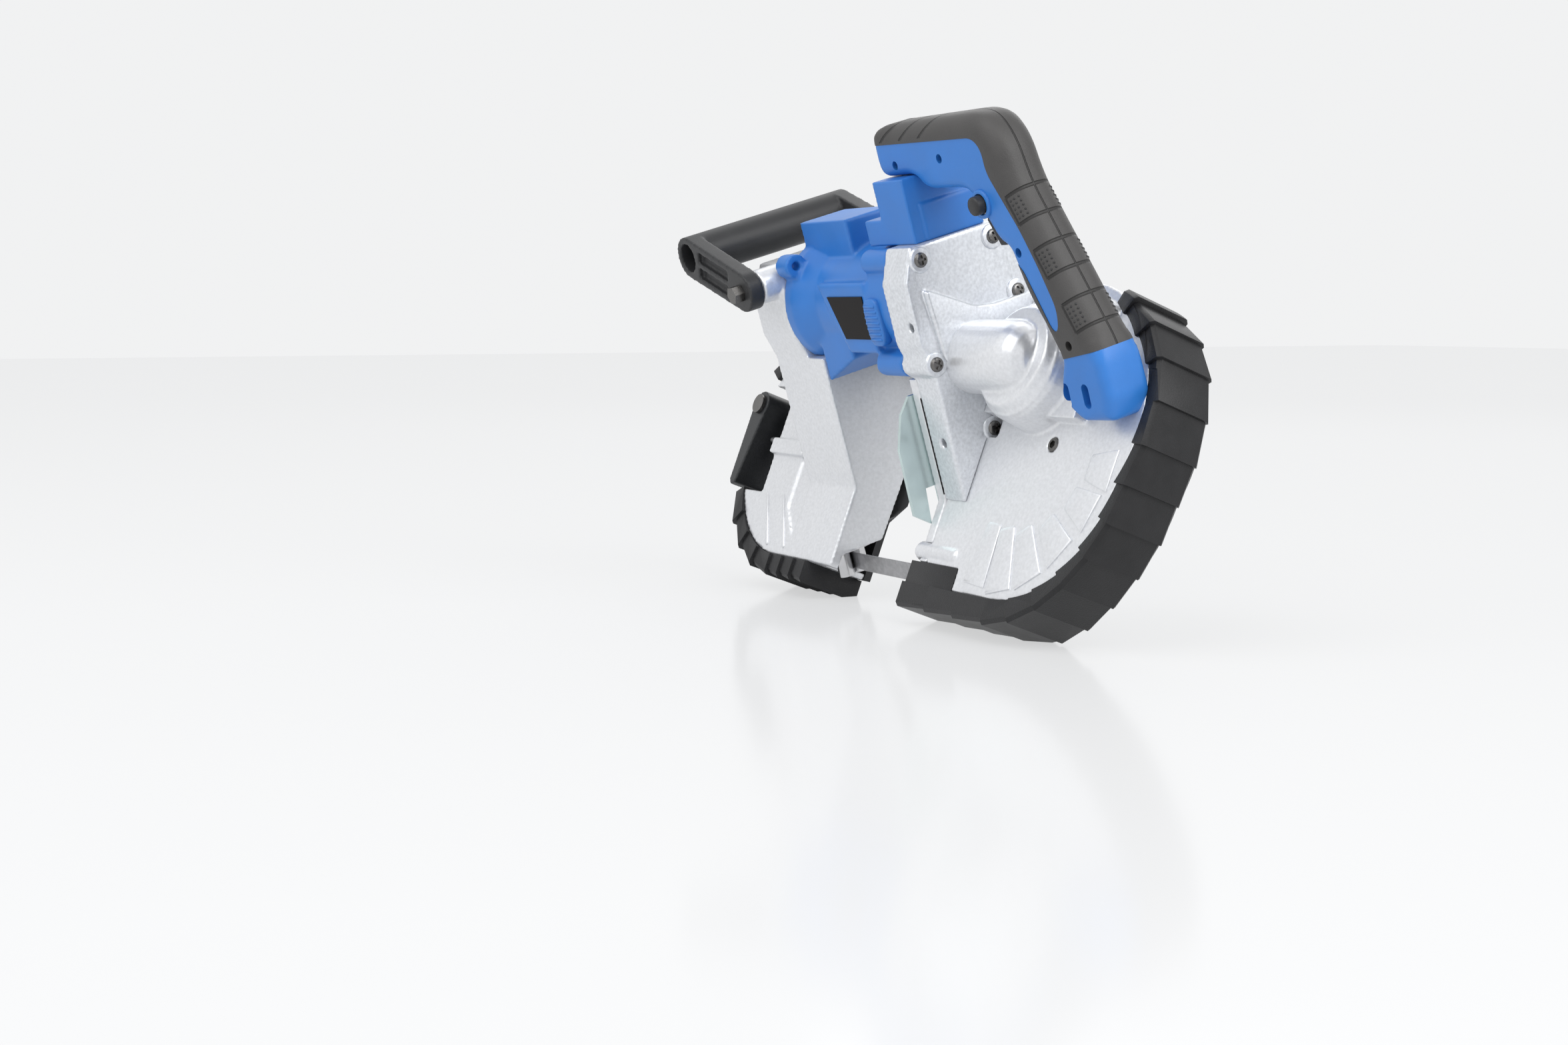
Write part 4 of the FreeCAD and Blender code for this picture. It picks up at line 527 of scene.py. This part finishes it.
def bored(form, name, cutters, material, crease=38):
    """A moulding with holes, slots or corners cut out of it, and its seams left crisp."""
    for cutter in cutters:
        sink = form.modifiers.new("sink", "BOOLEAN")
        sink.operation = "DIFFERENCE"
        sink.solver = "EXACT"
        sink.object = cutter
    piece = settled(name, form, material)
    piece.data.set_sharp_from_angle(angle=math.radians(crease))
    return piece


black_mould = finish_of("black_mould", (0.026, 0.0265, 0.028), 0.42, grain_size=0.0007, grain_depth=0.2,
                        sheen_level=0.35)
dress(black_mould, "rear_wheel_cover", "upper_blade_guard")
cover_corner = [(-55, -33), (-55, -120), (-84, -120), (-84, -52)]
corner_cut = bmesh.new()
block_solid(corner_cut, [on_cut(along, -60, up) for along, up in cover_corner], across_way * 0.14)
cutter = formed("corner_cut", corner_cut)
front_cover_plate = bored(formed("cover_form", merged_copy("front_wheel_cover")), "front_cover_plate", (cutter,),
                          black_mould)
bpy.data.objects.remove(cutter)
stands_for(front_cover_plate, "front_wheel_cover")

# The bumpers: thick near-black rubber in stepped tread blocks, pressed on to the housing's edge. The rear one's top
# blocks lap over the near side of the frame's crown with a lip, and a short block ends it.
crown_along, crown_rise, crown_radius = 149, 26, 103
tread_step = 2.5
tread_far = -19.5
lip_floor = near_level + 0.05
bumper_rubber = finish_of("bumper_rubber", (0.0185, 0.0185, 0.0195), 0.42, mottling=0.14, mottle_size=0.012,
                          grain_size=0.0009, grain_depth=0.22, sheen_level=0.28)


def moulded_tread(name, tread):
    """A bumper's tread as a finished piece."""
    return bevelled(name, tread, 0.0009, 2, 24, 34, bumper_rubber)


def crown_block(tread, first, last, inner_first, inner_last, thickness):
    """Add a block's near lip between two bearings round the crown. With a thickness it wraps the crown too."""
    rows = []
    for share in (0, 0.25, 0.5, 0.75, 1):
        bearing = math.radians(first + (last - first) * share)
        inner = inner_first + (inner_last - inner_first) * share
        near = near_level + tread_step - 1.9 * share
        top = crown_radius + thickness - tread_step * share
        lap, seat = crown_radius + 0.4, crown_radius + 0.1
        section = [(lap, near), (lap, lip_floor), (inner, lip_floor), (inner, near)]
        if thickness:
            section = [(top - tread_step, near), (top, near - tread_step), (top, tread_far + tread_step),
                       (top - tread_step, tread_far), (seat, tread_far), (seat, lip_floor), (inner, lip_floor),
                       (inner, near)]
        rows.append([tread.verts.new(on_wheels(crown_along + reach * math.cos(bearing),
                                               crown_rise + reach * math.sin(bearing), level))
                     for reach, level in section])
    skinned(tread, rows)


for node_name in ("rear_bumper", "front_bumper", "front_bumper_upper"):
    tread = merged_copy(node_name)
    bmesh.ops.dissolve_limit(tread, angle_limit=math.radians(1.5), verts=tread.verts, edges=tread.edges)
    stands_for(moulded_tread(node_name + "_moulding", tread), node_name)
lip = bmesh.new()
for first, last, inner_first, inner_last, thickness in ((26.9, 41.9, 102.4, 98, 0), (41.9, 57, 96.5, 96, 0),
                                                        (57, 66, 95, 96.5, 7)):
    crown_block(lip, first, last, inner_first, inner_last, thickness)
rear_bumper_lip = moulded_tread("rear_bumper_lip", lip)
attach(rear_bumper_lip, "frame")

# The motor housing: moulded blue plastic with a fine matt texture, and a bare black rating plate. A ribbed oval
# pad on the near side of its rear flange gives the hand a hold.
blue_mould = finish_of("blue_mould", (0.025, 0.170, 0.53), 0.38, mottling=0.04, grain_size=0.0006, grain_depth=0.14)
motor_shell = soft_cast("motor_shell", "motor_housing", 0.0014, 6, 0.4, blue_mould)
plate_black = finish_of("plate_black", (0.007, 0.0055, 0.0055), 0.34, mottling=0.2, grain_depth=0.05, sheen_level=0.1)
dress(plate_black, "rating_plate")
pad_middle = (36.6, 119.5)
pad_half = (10, 17)
pad_face = -46.5
pad_square = 0.6
pad_ring = bmesh.new()
rows = []
for inset, across in ((1.5, -38), (0, -40), (0, -45.2), (0.5, -46.1), (1.3, pad_face)):
    row = []
    for i in range(64):
        ray = (math.cos(2 * math.pi * i / 64), math.sin(2 * math.pi * i / 64))
        along, up = (middle + (half - inset) * math.copysign(abs(side) ** pad_square, side)
                     for middle, half, side in zip(pad_middle, pad_half, ray))
        row.append(pad_ring.verts.new(on_cut(along, across, up)))
    rows.append(row)
skinned(pad_ring, rows)
thumb_pad = settled("thumb_pad", formed("pad_form", pad_ring), blue_mould)
thumb_pad.data.set_sharp_from_angle(angle=math.radians(50))
pad_ribs = set_out("thumb_pad_ribs", rib_shape("pad_rib", 0.0022, 0.0009),
                   [(on_cut(pad_middle[0], pad_face, pad_middle[1] + 4 * step), turned_to(-across_way, blade_way),
                     (0.001 * (17.5 - 0.6 * abs(step) ** 1.6), 1, 1)) for step in range(-3, 4)], blue_mould)
for piece in (thumb_pad, pad_ribs):
    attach(piece, "frame")

# The trigger handle: two moulded blue halves screwed together, with a soft grip moulded over their back. All three
# share one rounded outline, so their section is full at the back and tighter on the finger side.
handle_half = 17
grip_proud = 0.45
arm_top = [(44, 214), (44, 243), (52, 249), (165, 249), (179, 244), (190, 228), (196, 200), (248, 94)]
cap_edge = [(250, 62), (246, 47), (216, 47), (206, 54), (198, 63), (203, 76), (209, 88)]
finger_side = [(202, 102), (187, 130), (181, 150), (178, 161), (168, 166), (161, 178), (150, 197), (140, 202),
               (96, 203), (86, 214)]
blue_edge = [(36, 237), (165, 234), (173, 226), (173, 211), (195, 173.5), (206, 149), (216, 121), (213, 107),
             (207, 106), (187.5, 150), (172, 151)]
cap_seam = [(203, 87), (256, 95.2)]
corner_setback = [11] * len(arm_top) + [4] * len(cap_edge) + [11] * len(finger_side)
leg_lean = (0.4405, -0.8978)
back_lean = (0.8978, 0.4405)
outline_pitch = 2.2
fullest_round = handle_half - 1.5
knob_base, collar_base = -12.6, -15.5


def rounded(points, setback, closed):
    """A line whose corners are eased into short curves, each by its own setback."""
    points = [Vector(point) for point in points]
    count = len(points)
    line = []
    for i, corner in enumerate(points):
        if not closed and i in (0, count - 1):
            line.append(corner)
            continue
        before = points[i - 1] - corner
        after = points[(i + 1) % count] - corner
        start = corner + before.normalized() * min(setback[i], before.length * 0.48)
        end = corner + after.normalized() * min(setback[i], after.length * 0.48)
        for step in range(7):
            share = step / 6
            line.append(start * (1 - share) ** 2 + corner * 2 * share * (1 - share) + end * share ** 2)
    return line


def stepped(points, pitch, closed):
    """The same line in even steps."""
    steps = []
    ends = points[1:] + points[:1] if closed else points[1:]
    for first, second in zip(points, ends):
        length = (second - first).length
        if length < 1e-6:
            continue
        parts = max(1, round(length / pitch))
        steps += [first.lerp(second, i / parts) for i in range(parts)]
    return steps if closed else steps + [points[-1]]


def inside(spots, line):
    """Which spots lie within a closed line."""
    edge = np.array(line)
    nxt = np.roll(edge, -1, axis=0)
    x, y = spots[:, 0, None], spots[:, 1, None]
    spans = (edge[:, 1] > y) != (nxt[:, 1] > y)
    rise = np.where(nxt[:, 1] == edge[:, 1], 1, nxt[:, 1] - edge[:, 1])
    crossing = edge[:, 0] + (y - edge[:, 1]) / rise * (nxt[:, 0] - edge[:, 0])
    return (spans & (x < crossing)).sum(axis=1) % 2 == 1


def nearest(spots, line):
    """How far each spot is from a closed line, and from which of its steps."""
    edge = np.array(line)
    run = np.roll(edge, -1, axis=0) - edge
    offset = spots[:, None, :] - edge
    share = np.clip((offset * run).sum(axis=2) / np.maximum((run ** 2).sum(axis=1), 1e-9), 0, 1)
    gap = np.linalg.norm(offset - share[:, :, None] * run, axis=2)
    return gap.min(axis=1), gap.argmin(axis=1)


def edge_round(point):
    """How far the handle's edge is rounded off at a place on its outline: most on the arm's top and the leg's back."""
    if point.x < 50:
        return 4
    if point.y > 225 and point.x > 52:
        return 13
    if point.y > 96:
        return 14 if point.x * back_lean[0] + point.y * back_lean[1] > 257 else 6
    return 7 if point.x > 232 else 4


outline = stepped(rounded(arm_top + cap_edge + finger_side, corner_setback, True), outline_pitch, True)
seam = stepped(rounded(blue_edge, [7] * len(blue_edge), False), outline_pitch, False)
lower_seam = stepped([Vector(point) for point in cap_seam], outline_pitch, False)
edge_radius = np.array([edge_round(point) for point in outline])
edge_radius = sum(np.roll(edge_radius, shift) for shift in range(-5, 6)) / 11
spots = [Vector(point) for point in outline]
for depth in (0.6, 1.8, 3.6, 6, 9, 12.5):
    ring = []
    for i, point in enumerate(outline):
        run = (outline[(i + 1) % len(outline)] - outline[i - 1]).normalized()
        ring.append(point + Vector((run.y, -run.x)) * depth)
    ring = np.array(ring)
    clear = inside(ring, outline) & (nearest(ring, outline)[0] > depth - 0.25)
    spots += [Vector(point) for point in ring[clear]]
grid = np.array([(along, up) for along in np.arange(46, 250, 5) for up in np.arange(48, 249, 5)], dtype=float)
clear = inside(grid, outline) & (nearest(grid, outline)[0] > 14)
spots += [Vector(point) for point in grid[clear]]
first_seam = len(spots)
spots += seam + lower_seam
held = [(i, (i + 1) % len(outline)) for i in range(len(outline))]
held += [(first_seam + i, first_seam + i + 1) for i in range(len(seam) - 1)]
held += [(first_seam + len(seam) + i, first_seam + len(seam) + i + 1) for i in range(len(lower_seam) - 1)]
meshed = delaunay_2d_cdt(spots, held, [], 0, 1e-4)
flat = np.array([tuple(point) for point in meshed[0]])
triangles = np.array([face for face in meshed[2] if len(face) == 3])
middles = flat[triangles].mean(axis=1)
within = inside(middles, outline)
triangles, middles = triangles[within], middles[within]
above_seam = inside(middles, [Vector((36, 320))] + seam + [Vector((150, 87))]
                    + lower_seam + [Vector((300, 95.2)), Vector((300, 320))])
gap, step_of = nearest(flat, outline)
radius = np.minimum(edge_radius[step_of], fullest_round)
eased = np.clip(radius - gap, 0, None)
swell = handle_half - radius + np.sqrt(np.maximum(radius ** 2 - eased ** 2, 0))


def slab(name, faces, near, far):
    """A closed moulding over some of the outline's triangles, between its near and its far surface."""
    mesh = bmesh.new()
    used = sorted(set(faces.ravel()))
    lower = {i: mesh.verts.new(on_cut(flat[i, 0], near[i], flat[i, 1])) for i in used}
    upper = {i: mesh.verts.new(on_cut(flat[i, 0], far[i], flat[i, 1])) for i in used}
    sides = {}
    for a, b, c in faces:
        mesh.faces.new((lower[a], lower[b], lower[c]))
        mesh.faces.new((upper[c], upper[b], upper[a]))
        for pair in ((a, b), (b, c), (c, a)):
            sides[frozenset(pair)] = None if frozenset(pair) in sides else pair
    for pair in sides.values():
        if pair:
            mesh.faces.new((lower[pair[1]], lower[pair[0]], upper[pair[0]], upper[pair[1]]))
    bmesh.ops.recalc_face_normals(mesh, faces=mesh.faces)
    return formed(name + "_form", mesh)


def sinker(name, places, radius, depth, reach=0.0):
    """Round or long sinks from the handle's near face."""
    shape = bmesh.new()
    for along, up in places:
        rows = []
        for across in (-handle_half - 3, -handle_half + depth):
            row = []
            for i in range(24):
                turn = 2 * math.pi * i / 24
                lift = reach if math.sin(turn) >= 0 else -reach
                row.append(shape.verts.new(on_cut(along + radius * math.cos(turn), across,
                                                  up + lift + radius * math.sin(turn))))
            rows.append(row)
        skinned(shape, rows)
    return formed(name, shape)


grip_rubber = finish_of("grip_rubber", (0.056, 0.054, 0.053), 0.48, mottling=0.08, grain_size=0.0008,
                        grain_depth=0.2, sheen_level=0.35)
screw_holes = sinker("screw_holes", [(66, 221.6), (122, 223), (188, 158), (220, 97)], 3.2, 9)
cap_slots = sinker("cap_slots", [(205, 64), (226, 64)], 3.6, 7, 4.5)
blue_faces = triangles[~above_seam]
grip_faces = triangles[above_seam]
parting = np.zeros(len(flat))
near_blue = bored(slab("near_blue", blue_faces, -swell, parting), "near_blue_half", (screw_holes, cap_slots),
                  blue_mould)
far_blue = bored(slab("far_blue", blue_faces, parting, swell), "far_blue_half", (), blue_mould)
grip = bored(slab("soft_grip", grip_faces, -swell - grip_proud, swell + grip_proud), "soft_grip", (screw_holes,),
             grip_rubber)
for cutter in (screw_holes, cap_slots):
    bpy.data.objects.remove(cutter)
stands_for(near_blue, "handle_near_half")
stands_for(far_blue, "handle_far_half")
stands_for(grip, "handle_grip")
handle_foot_shell = soft_cast("handle_foot_shell", "handle_foot", 0.0009, 2, 0.4, blue_mould)
dress(black_mould, "trigger")
button_root, button_face = (Vector(corner) for corner in solids_of("lock_button")[0])
knob = bmesh.new()
button_middle = (button_root + button_face) / 2
button_at = (button_middle - saw_middle).dot(blade_way) * 1000, (button_middle - saw_middle).dot(up_way) * 1000
round_solid(knob, [(5.6, 0), (5.6, 4.5), (6.3, 5), (6.3, 10.6), (5.9, 11.6), (4.6, 12.2), (2, 12.4)],
            on_cut(button_at[0], knob_base, button_at[1]), -across_way)
lock_knob = settled("lock_knob", formed("knob_form", knob), black_mould)
lock_knob.data.set_sharp_from_angle(angle=math.radians(50))
stands_for(lock_knob, "lock_button")
collar = bmesh.new()
round_solid(collar, [(6.7, 0), (9.6, 0), (9.6, 2.6), (9, 3.2), (7.2, 3.2), (6.7, 2.6)],
            on_cut(button_at[0], collar_base, button_at[1]), -across_way)
bmesh.ops.delete(collar, geom=[face for face in collar.faces if len(face.verts) > 4], context="FACES_ONLY")
rings = [list(collar.verts)[i * 32:i * 32 + 32] for i in (0, 5)]
for i in range(32):
    collar.faces.new((rings[1][i - 1], rings[1][i], rings[0][i], rings[0][i - 1]))
bmesh.ops.recalc_face_normals(collar, faces=collar.faces)
button_collar = settled("button_collar", formed("collar_form", collar), blue_mould)
button_collar.data.set_sharp_from_angle(angle=math.radians(50))
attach(button_collar, "frame")

# Grooves in the soft grip: six run across the leg and mark off three pads, three slant over the arm's front, and
# a thin seam follows the middle of its back. They are sunk in the finish's relief only, with painted shade darkening
# their colour. Rows of small dots stand on the pads.
leg_way = blade_way * leg_lean[0] + up_way * leg_lean[1]
back_way = blade_way * back_lean[0] + up_way * back_lean[1]
pad_starts = (-91, -51.8, -12.6)
pad_length = 19.6
pad_edge = 253.5
single_pitch = 400
slant_way = blade_way * 0.606 - up_way * 0.795


def groove(material, way, start, pitch, count, width, limits):
    """How deep in a row of straight grooves each spot lies, within limits along other directions."""
    nodes = material.node_tree.nodes
    join = material.node_tree.links.new

    def math_node(operation, first, second):
        node = nodes.new("ShaderNodeMath")
        node.operation = operation
        for socket, value in zip(node.inputs, (first, second)):
            if isinstance(value, (int, float)):
                socket.default_value = value
            else:
                join(value, socket)
        return node.outputs[0]

    def distance_along(direction):
        place = nodes.new("ShaderNodeTexCoord")
        dot = nodes.new("ShaderNodeVectorMath")
        dot.operation = "DOT_PRODUCT"
        dot.inputs[1].default_value = direction
        join(place.outputs["Object"], dot.inputs[0])
        return math_node("SUBTRACT", dot.outputs["Value"], saw_middle.dot(direction))

    run = math_node("SUBTRACT", distance_along(way), start * 0.001)
    beside = math_node("PINGPONG", run, pitch * 0.0005)
    depth = nodes.new("ShaderNodeMapRange")
    depth.interpolation_type = "SMOOTHSTEP"
    for socket, value in (("From Min", width * 0.00025), ("From Max", width * 0.0007), ("To Min", 1), ("To Max", 0)):
        depth.inputs[socket].default_value = value
    join(beside, depth.inputs["Value"])
    mask = depth.outputs["Result"]
    mask = math_node("MULTIPLY", mask, math_node("GREATER_THAN", run, -pitch * 0.0004))
    mask = math_node("MULTIPLY", mask, math_node("LESS_THAN", run, (count - 0.6) * pitch * 0.001))
    for direction, low, high in limits:
        reach = distance_along(direction)
        mask = math_node("MULTIPLY", mask, math_node("GREATER_THAN", reach, low * 0.001))
        mask = math_node("MULTIPLY", mask, math_node("LESS_THAN", reach, high * 0.001))
    return mask


def carve(material, masks, depth):
    """Sink masks into a finish's relief and paint shade into them: their colour is darkened to stand for the shadow in
    a groove.
    """
    nodes = material.node_tree.nodes
    join = material.node_tree.links.new
    total = masks[0]
    for mask in masks[1:]:
        deeper = nodes.new("ShaderNodeMath")
        deeper.operation = "MAXIMUM"
        join(total, deeper.inputs[0])
        join(mask, deeper.inputs[1])
        total = deeper.outputs[0]
    sunk = nodes.new("ShaderNodeBump")
    sunk.invert = True
    sunk.inputs["Strength"].default_value = 0.9
    sunk.inputs["Distance"].default_value = depth
    join(total, sunk.inputs["Height"])
    join(nodes["grain"].outputs["Normal"], sunk.inputs["Normal"])
    shader = nodes["Principled BSDF"]
    join(sunk.outputs["Normal"], shader.inputs["Normal"])
    # Painted shade: the masked grooves' colour is multiplied down to stand for the shadow that falls in them.
    painted_groove_shade = nodes.new("ShaderNodeMix")
    painted_groove_shade.data_type = "RGBA"
    painted_groove_shade.blend_type = "MULTIPLY"
    painted_groove_shade.inputs["B"].default_value = (0.35, 0.35, 0.35, 1)
    join(total, painted_groove_shade.inputs["Factor"])
    join(shader.inputs["Base Color"].links[0].from_socket, painted_groove_shade.inputs["A"])
    join(painted_groove_shade.outputs["Result"], shader.inputs["Base Color"])


carve(grip_rubber, [
    groove(grip_rubber, leg_way, pad_starts[0], pad_length, 6, 2.0, ((back_way, pad_edge, 290),)),
    *[groove(grip_rubber, back_way, pad_edge, single_pitch, 1, 1.6, ((leg_way, start, start + pad_length),))
      for start in pad_starts],
    groove(grip_rubber, slant_way, -155.8, 14.6, 3, 2.0, ((up_way, 238, 290), (blade_way, 40, 140))),
    groove(grip_rubber, across_way, 0, single_pitch, 1, 1.2, ((blade_way, 150, 290),))], 0.0012)


def dome_shape(name, radius, height):
    """A small round stud, sunk a little into what carries it."""
    shape = bmesh.new()
    skinned(shape, [[shape.verts.new((radius * width * math.cos(math.pi * i / 4),
                                      radius * width * math.sin(math.pi * i / 4), height * lift)) for i in range(8)]
                    for lift, width in ((-0.5, 1), (0, 1), (0.6, 0.75), (0.92, 0.35))])
    return formed(name, shape)


dot_margin, dot_row, dot_column = 3.6, 3.1, 2.5
dot_places = []
for pad_start in pad_starts:
    for row in range(5):
        for column in range(3):
            along_leg = pad_start + dot_margin + row * dot_row
            over_back = pad_edge + (column + 1) * dot_column
            along, up = (along_leg * leg_lean[i] + over_back * back_lean[i] for i in (0, 1))
            gap, step_of = nearest(np.array([(along, up)]), outline)
            edge = min(edge_radius[step_of[0]], fullest_round)
            ease = max(edge - gap[0], 0)
            lift = handle_half - edge + math.sqrt(edge ** 2 - ease ** 2) + grip_proud
            slope = ease / math.sqrt(edge ** 2 - ease ** 2) if ease else 0
            for side in (-1, 1):
                outward = (across_way * side + back_way * slope).normalized()
                dot_places.append((on_cut(along, side * lift, up), turned_to(outward, leg_way), (1, 1, 1)))
grip_dots = set_out("grip_dots", dome_shape("grip_dot", 0.00075, 0.0006), dot_places, black_mould)
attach(grip_dots, "frame")

# The bail handle at the front: a black moulded tube between two arms with ribbed pockets. A steel bolt through each
# arm holds it to the front frame's lugs, and it turns on them.
bail_moulding = soft_cast("bail_moulding", "bail_handle", 0.0010, 3, 0.5, black_mould)

# The tension lever and its pin: a stout black moulded block at the front that slackens the blade when it is swung out.
# The same dark steel makes its pin, the shoe's screws and the bail handle's bolts.
lever_black = finish_of("lever_black", (0.016, 0.0175, 0.0195), 0.4, grain_size=0.0007, grain_depth=0.2)
lever_moulding = soft_cast("lever_moulding", "tension_lever", 0.0009, 4, 0.5, lever_black)
black_screw = finish_of("black_screw", (0.16, 0.155, 0.15), 0.28, 1.0, mottling=0.15, grain_depth=0.08)
dress(black_screw, "lever_pin", "shoe_screws", "bail_bolts")

# The blade: a thin hardened steel band that runs round both wheels, with small teeth along its lower edge in the
# throat. Ball-bearing rollers on steel brackets turn it to the cut.
blade_steel = finish_of("blade_steel", (0.40, 0.40, 0.41), 0.3, 1.0, mottling=0.15, mottle_size=0.004)
dress(blade_steel, "saw_blade")
blade_spots = [vertex.co - saw_middle for vertex in frame["nodes"]["saw_blade"].data.vertices]
cut_run = [spot for spot in blade_spots if abs(spot.x) < 0.095 and spot.dot(up_way) < -0.03]
blade_low = min(spot.dot(up_way) for spot in cut_run) * 1000
blade_across = sum(spot.dot(across_way) for spot in cut_run) / len(cut_run) * 1000
tooth = bmesh.new()
block_solid(tooth, [Vector((-0.8, 0.3, -0.6)), Vector((1, 0.3, -0.6)), Vector((0.7, 0.3, 0.9))], Vector((0, -0.6, 0)))
for vertex in tooth.verts:
    vertex.co *= 0.001
blade_teeth = set_out("blade_teeth", formed("tooth", tooth),
                      [(on_cut(along, blade_across, blade_low), turned_to(-up_way, blade_way), (1, 1, 1))
                       for along in np.arange(-60, 53, 1.8)], blade_steel)
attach(blade_teeth, "frame")
dress(bright_steel, "front_guide", "rear_guide", "front_near_roller", "front_far_roller", "rear_near_roller",
      "rear_far_roller")

# The shoe: a bent zinc-plated sheet with a fork round the blade, which steadies the work against the throat. Two screws
# in a long slot hold it to the throat plate.
zinc_sheet = finish_of("zinc_sheet", (0.56, 0.665, 0.66), 0.26, 0.85, mottling=0.05, mottle_size=0.012,
                       grain_depth=0.05)
dress(zinc_sheet, "shoe")

# The fasteners: black steel cross-head screws that hold the gear case and the handle's halves, each turned its own way
# as it was driven home, and a socket plug screwed into the rear deck.


def cross_head(name, radius, height):
    """A pan head with a cross recess, standing on z = 0."""
    profile = [(0.97, -0.2), (1, 0.1), (0.98, 0.45), (0.9, 0.72), (0.74, 0.9), (0.5, 0.98), (0.2, 1)]
    shape = bmesh.new()
    skinned(shape, [[shape.verts.new((radius * width * math.cos(math.pi * i / 16),
                                      radius * width * math.sin(math.pi * i / 16), height * lift)) for i in range(32)]
                    for width, lift in profile])
    cutters = []
    for long, short in ((1.25, 0.34), (0.34, 1.25)):
        bar = bmesh.new()
        bmesh.ops.create_cube(bar, size=1, matrix=Matrix.Diagonal((radius * long, radius * short, height * 1.1, 1)))
        bmesh.ops.translate(bar, verts=bar.verts, vec=(0, 0, height))
        cutters.append(formed(name + "_bar", bar))
    shaped = bored(formed(name, shape), name + "_shape", cutters, black_screw, 35)
    for cutter in cutters:
        bpy.data.objects.remove(cutter)
    return shaped


case_places = []
for number, place in enumerate(screw_places):
    spun = up_way * math.cos(0.7 * number) + across_way * math.sin(0.7 * number)
    case_places.append((place + blade_way * 0.0006, turned_to(blade_way, spun), (1, 1, 1)))
case_heads = set_out("gear_case_screw_heads", cross_head("case_head", 0.0052, 0.0024), case_places, black_screw)
stands_for(case_heads, "gear_case_screws")
handle_places = []
for number, (low, high) in enumerate(solids_of("handle_screws")):
    place = (Vector(low) + Vector(high)) / 2
    spun = up_way * math.cos(0.9 * number) + blade_way * math.sin(0.9 * number)
    handle_places.append((place - across_way * 0.0005, turned_to(-across_way, spun), (1, 1, 1)))
handle_heads = set_out("handle_screw_heads", cross_head("handle_head", 0.0029, 0.0028), handle_places, black_screw)
stands_for(handle_heads, "handle_screws")
plug_low, plug_high = (Vector(corner) for corner in solids_of("hex_plug")[0])
plug_middle = (plug_low + plug_high) / 2
plug = bmesh.new()
round_solid(plug, [(4.6, 0), (5.0, 0.6), (5.0, 3.4), (4.4, 4.2), (2, 4.2)], plug_middle - spindle_way * 0.002,
            spindle_way)
socket_cut = bmesh.new()
round_solid(socket_cut, [(2.9, 0), (2.9, 6)], plug_middle + spindle_way * 0.0001, spindle_way, 6)
cutter = formed("socket_cut", socket_cut)
socket_plug = bored(formed("plug_form", plug), "socket_plug", (cutter,), black_screw)
bpy.data.objects.remove(cutter)
stands_for(socket_plug, "hex_plug")
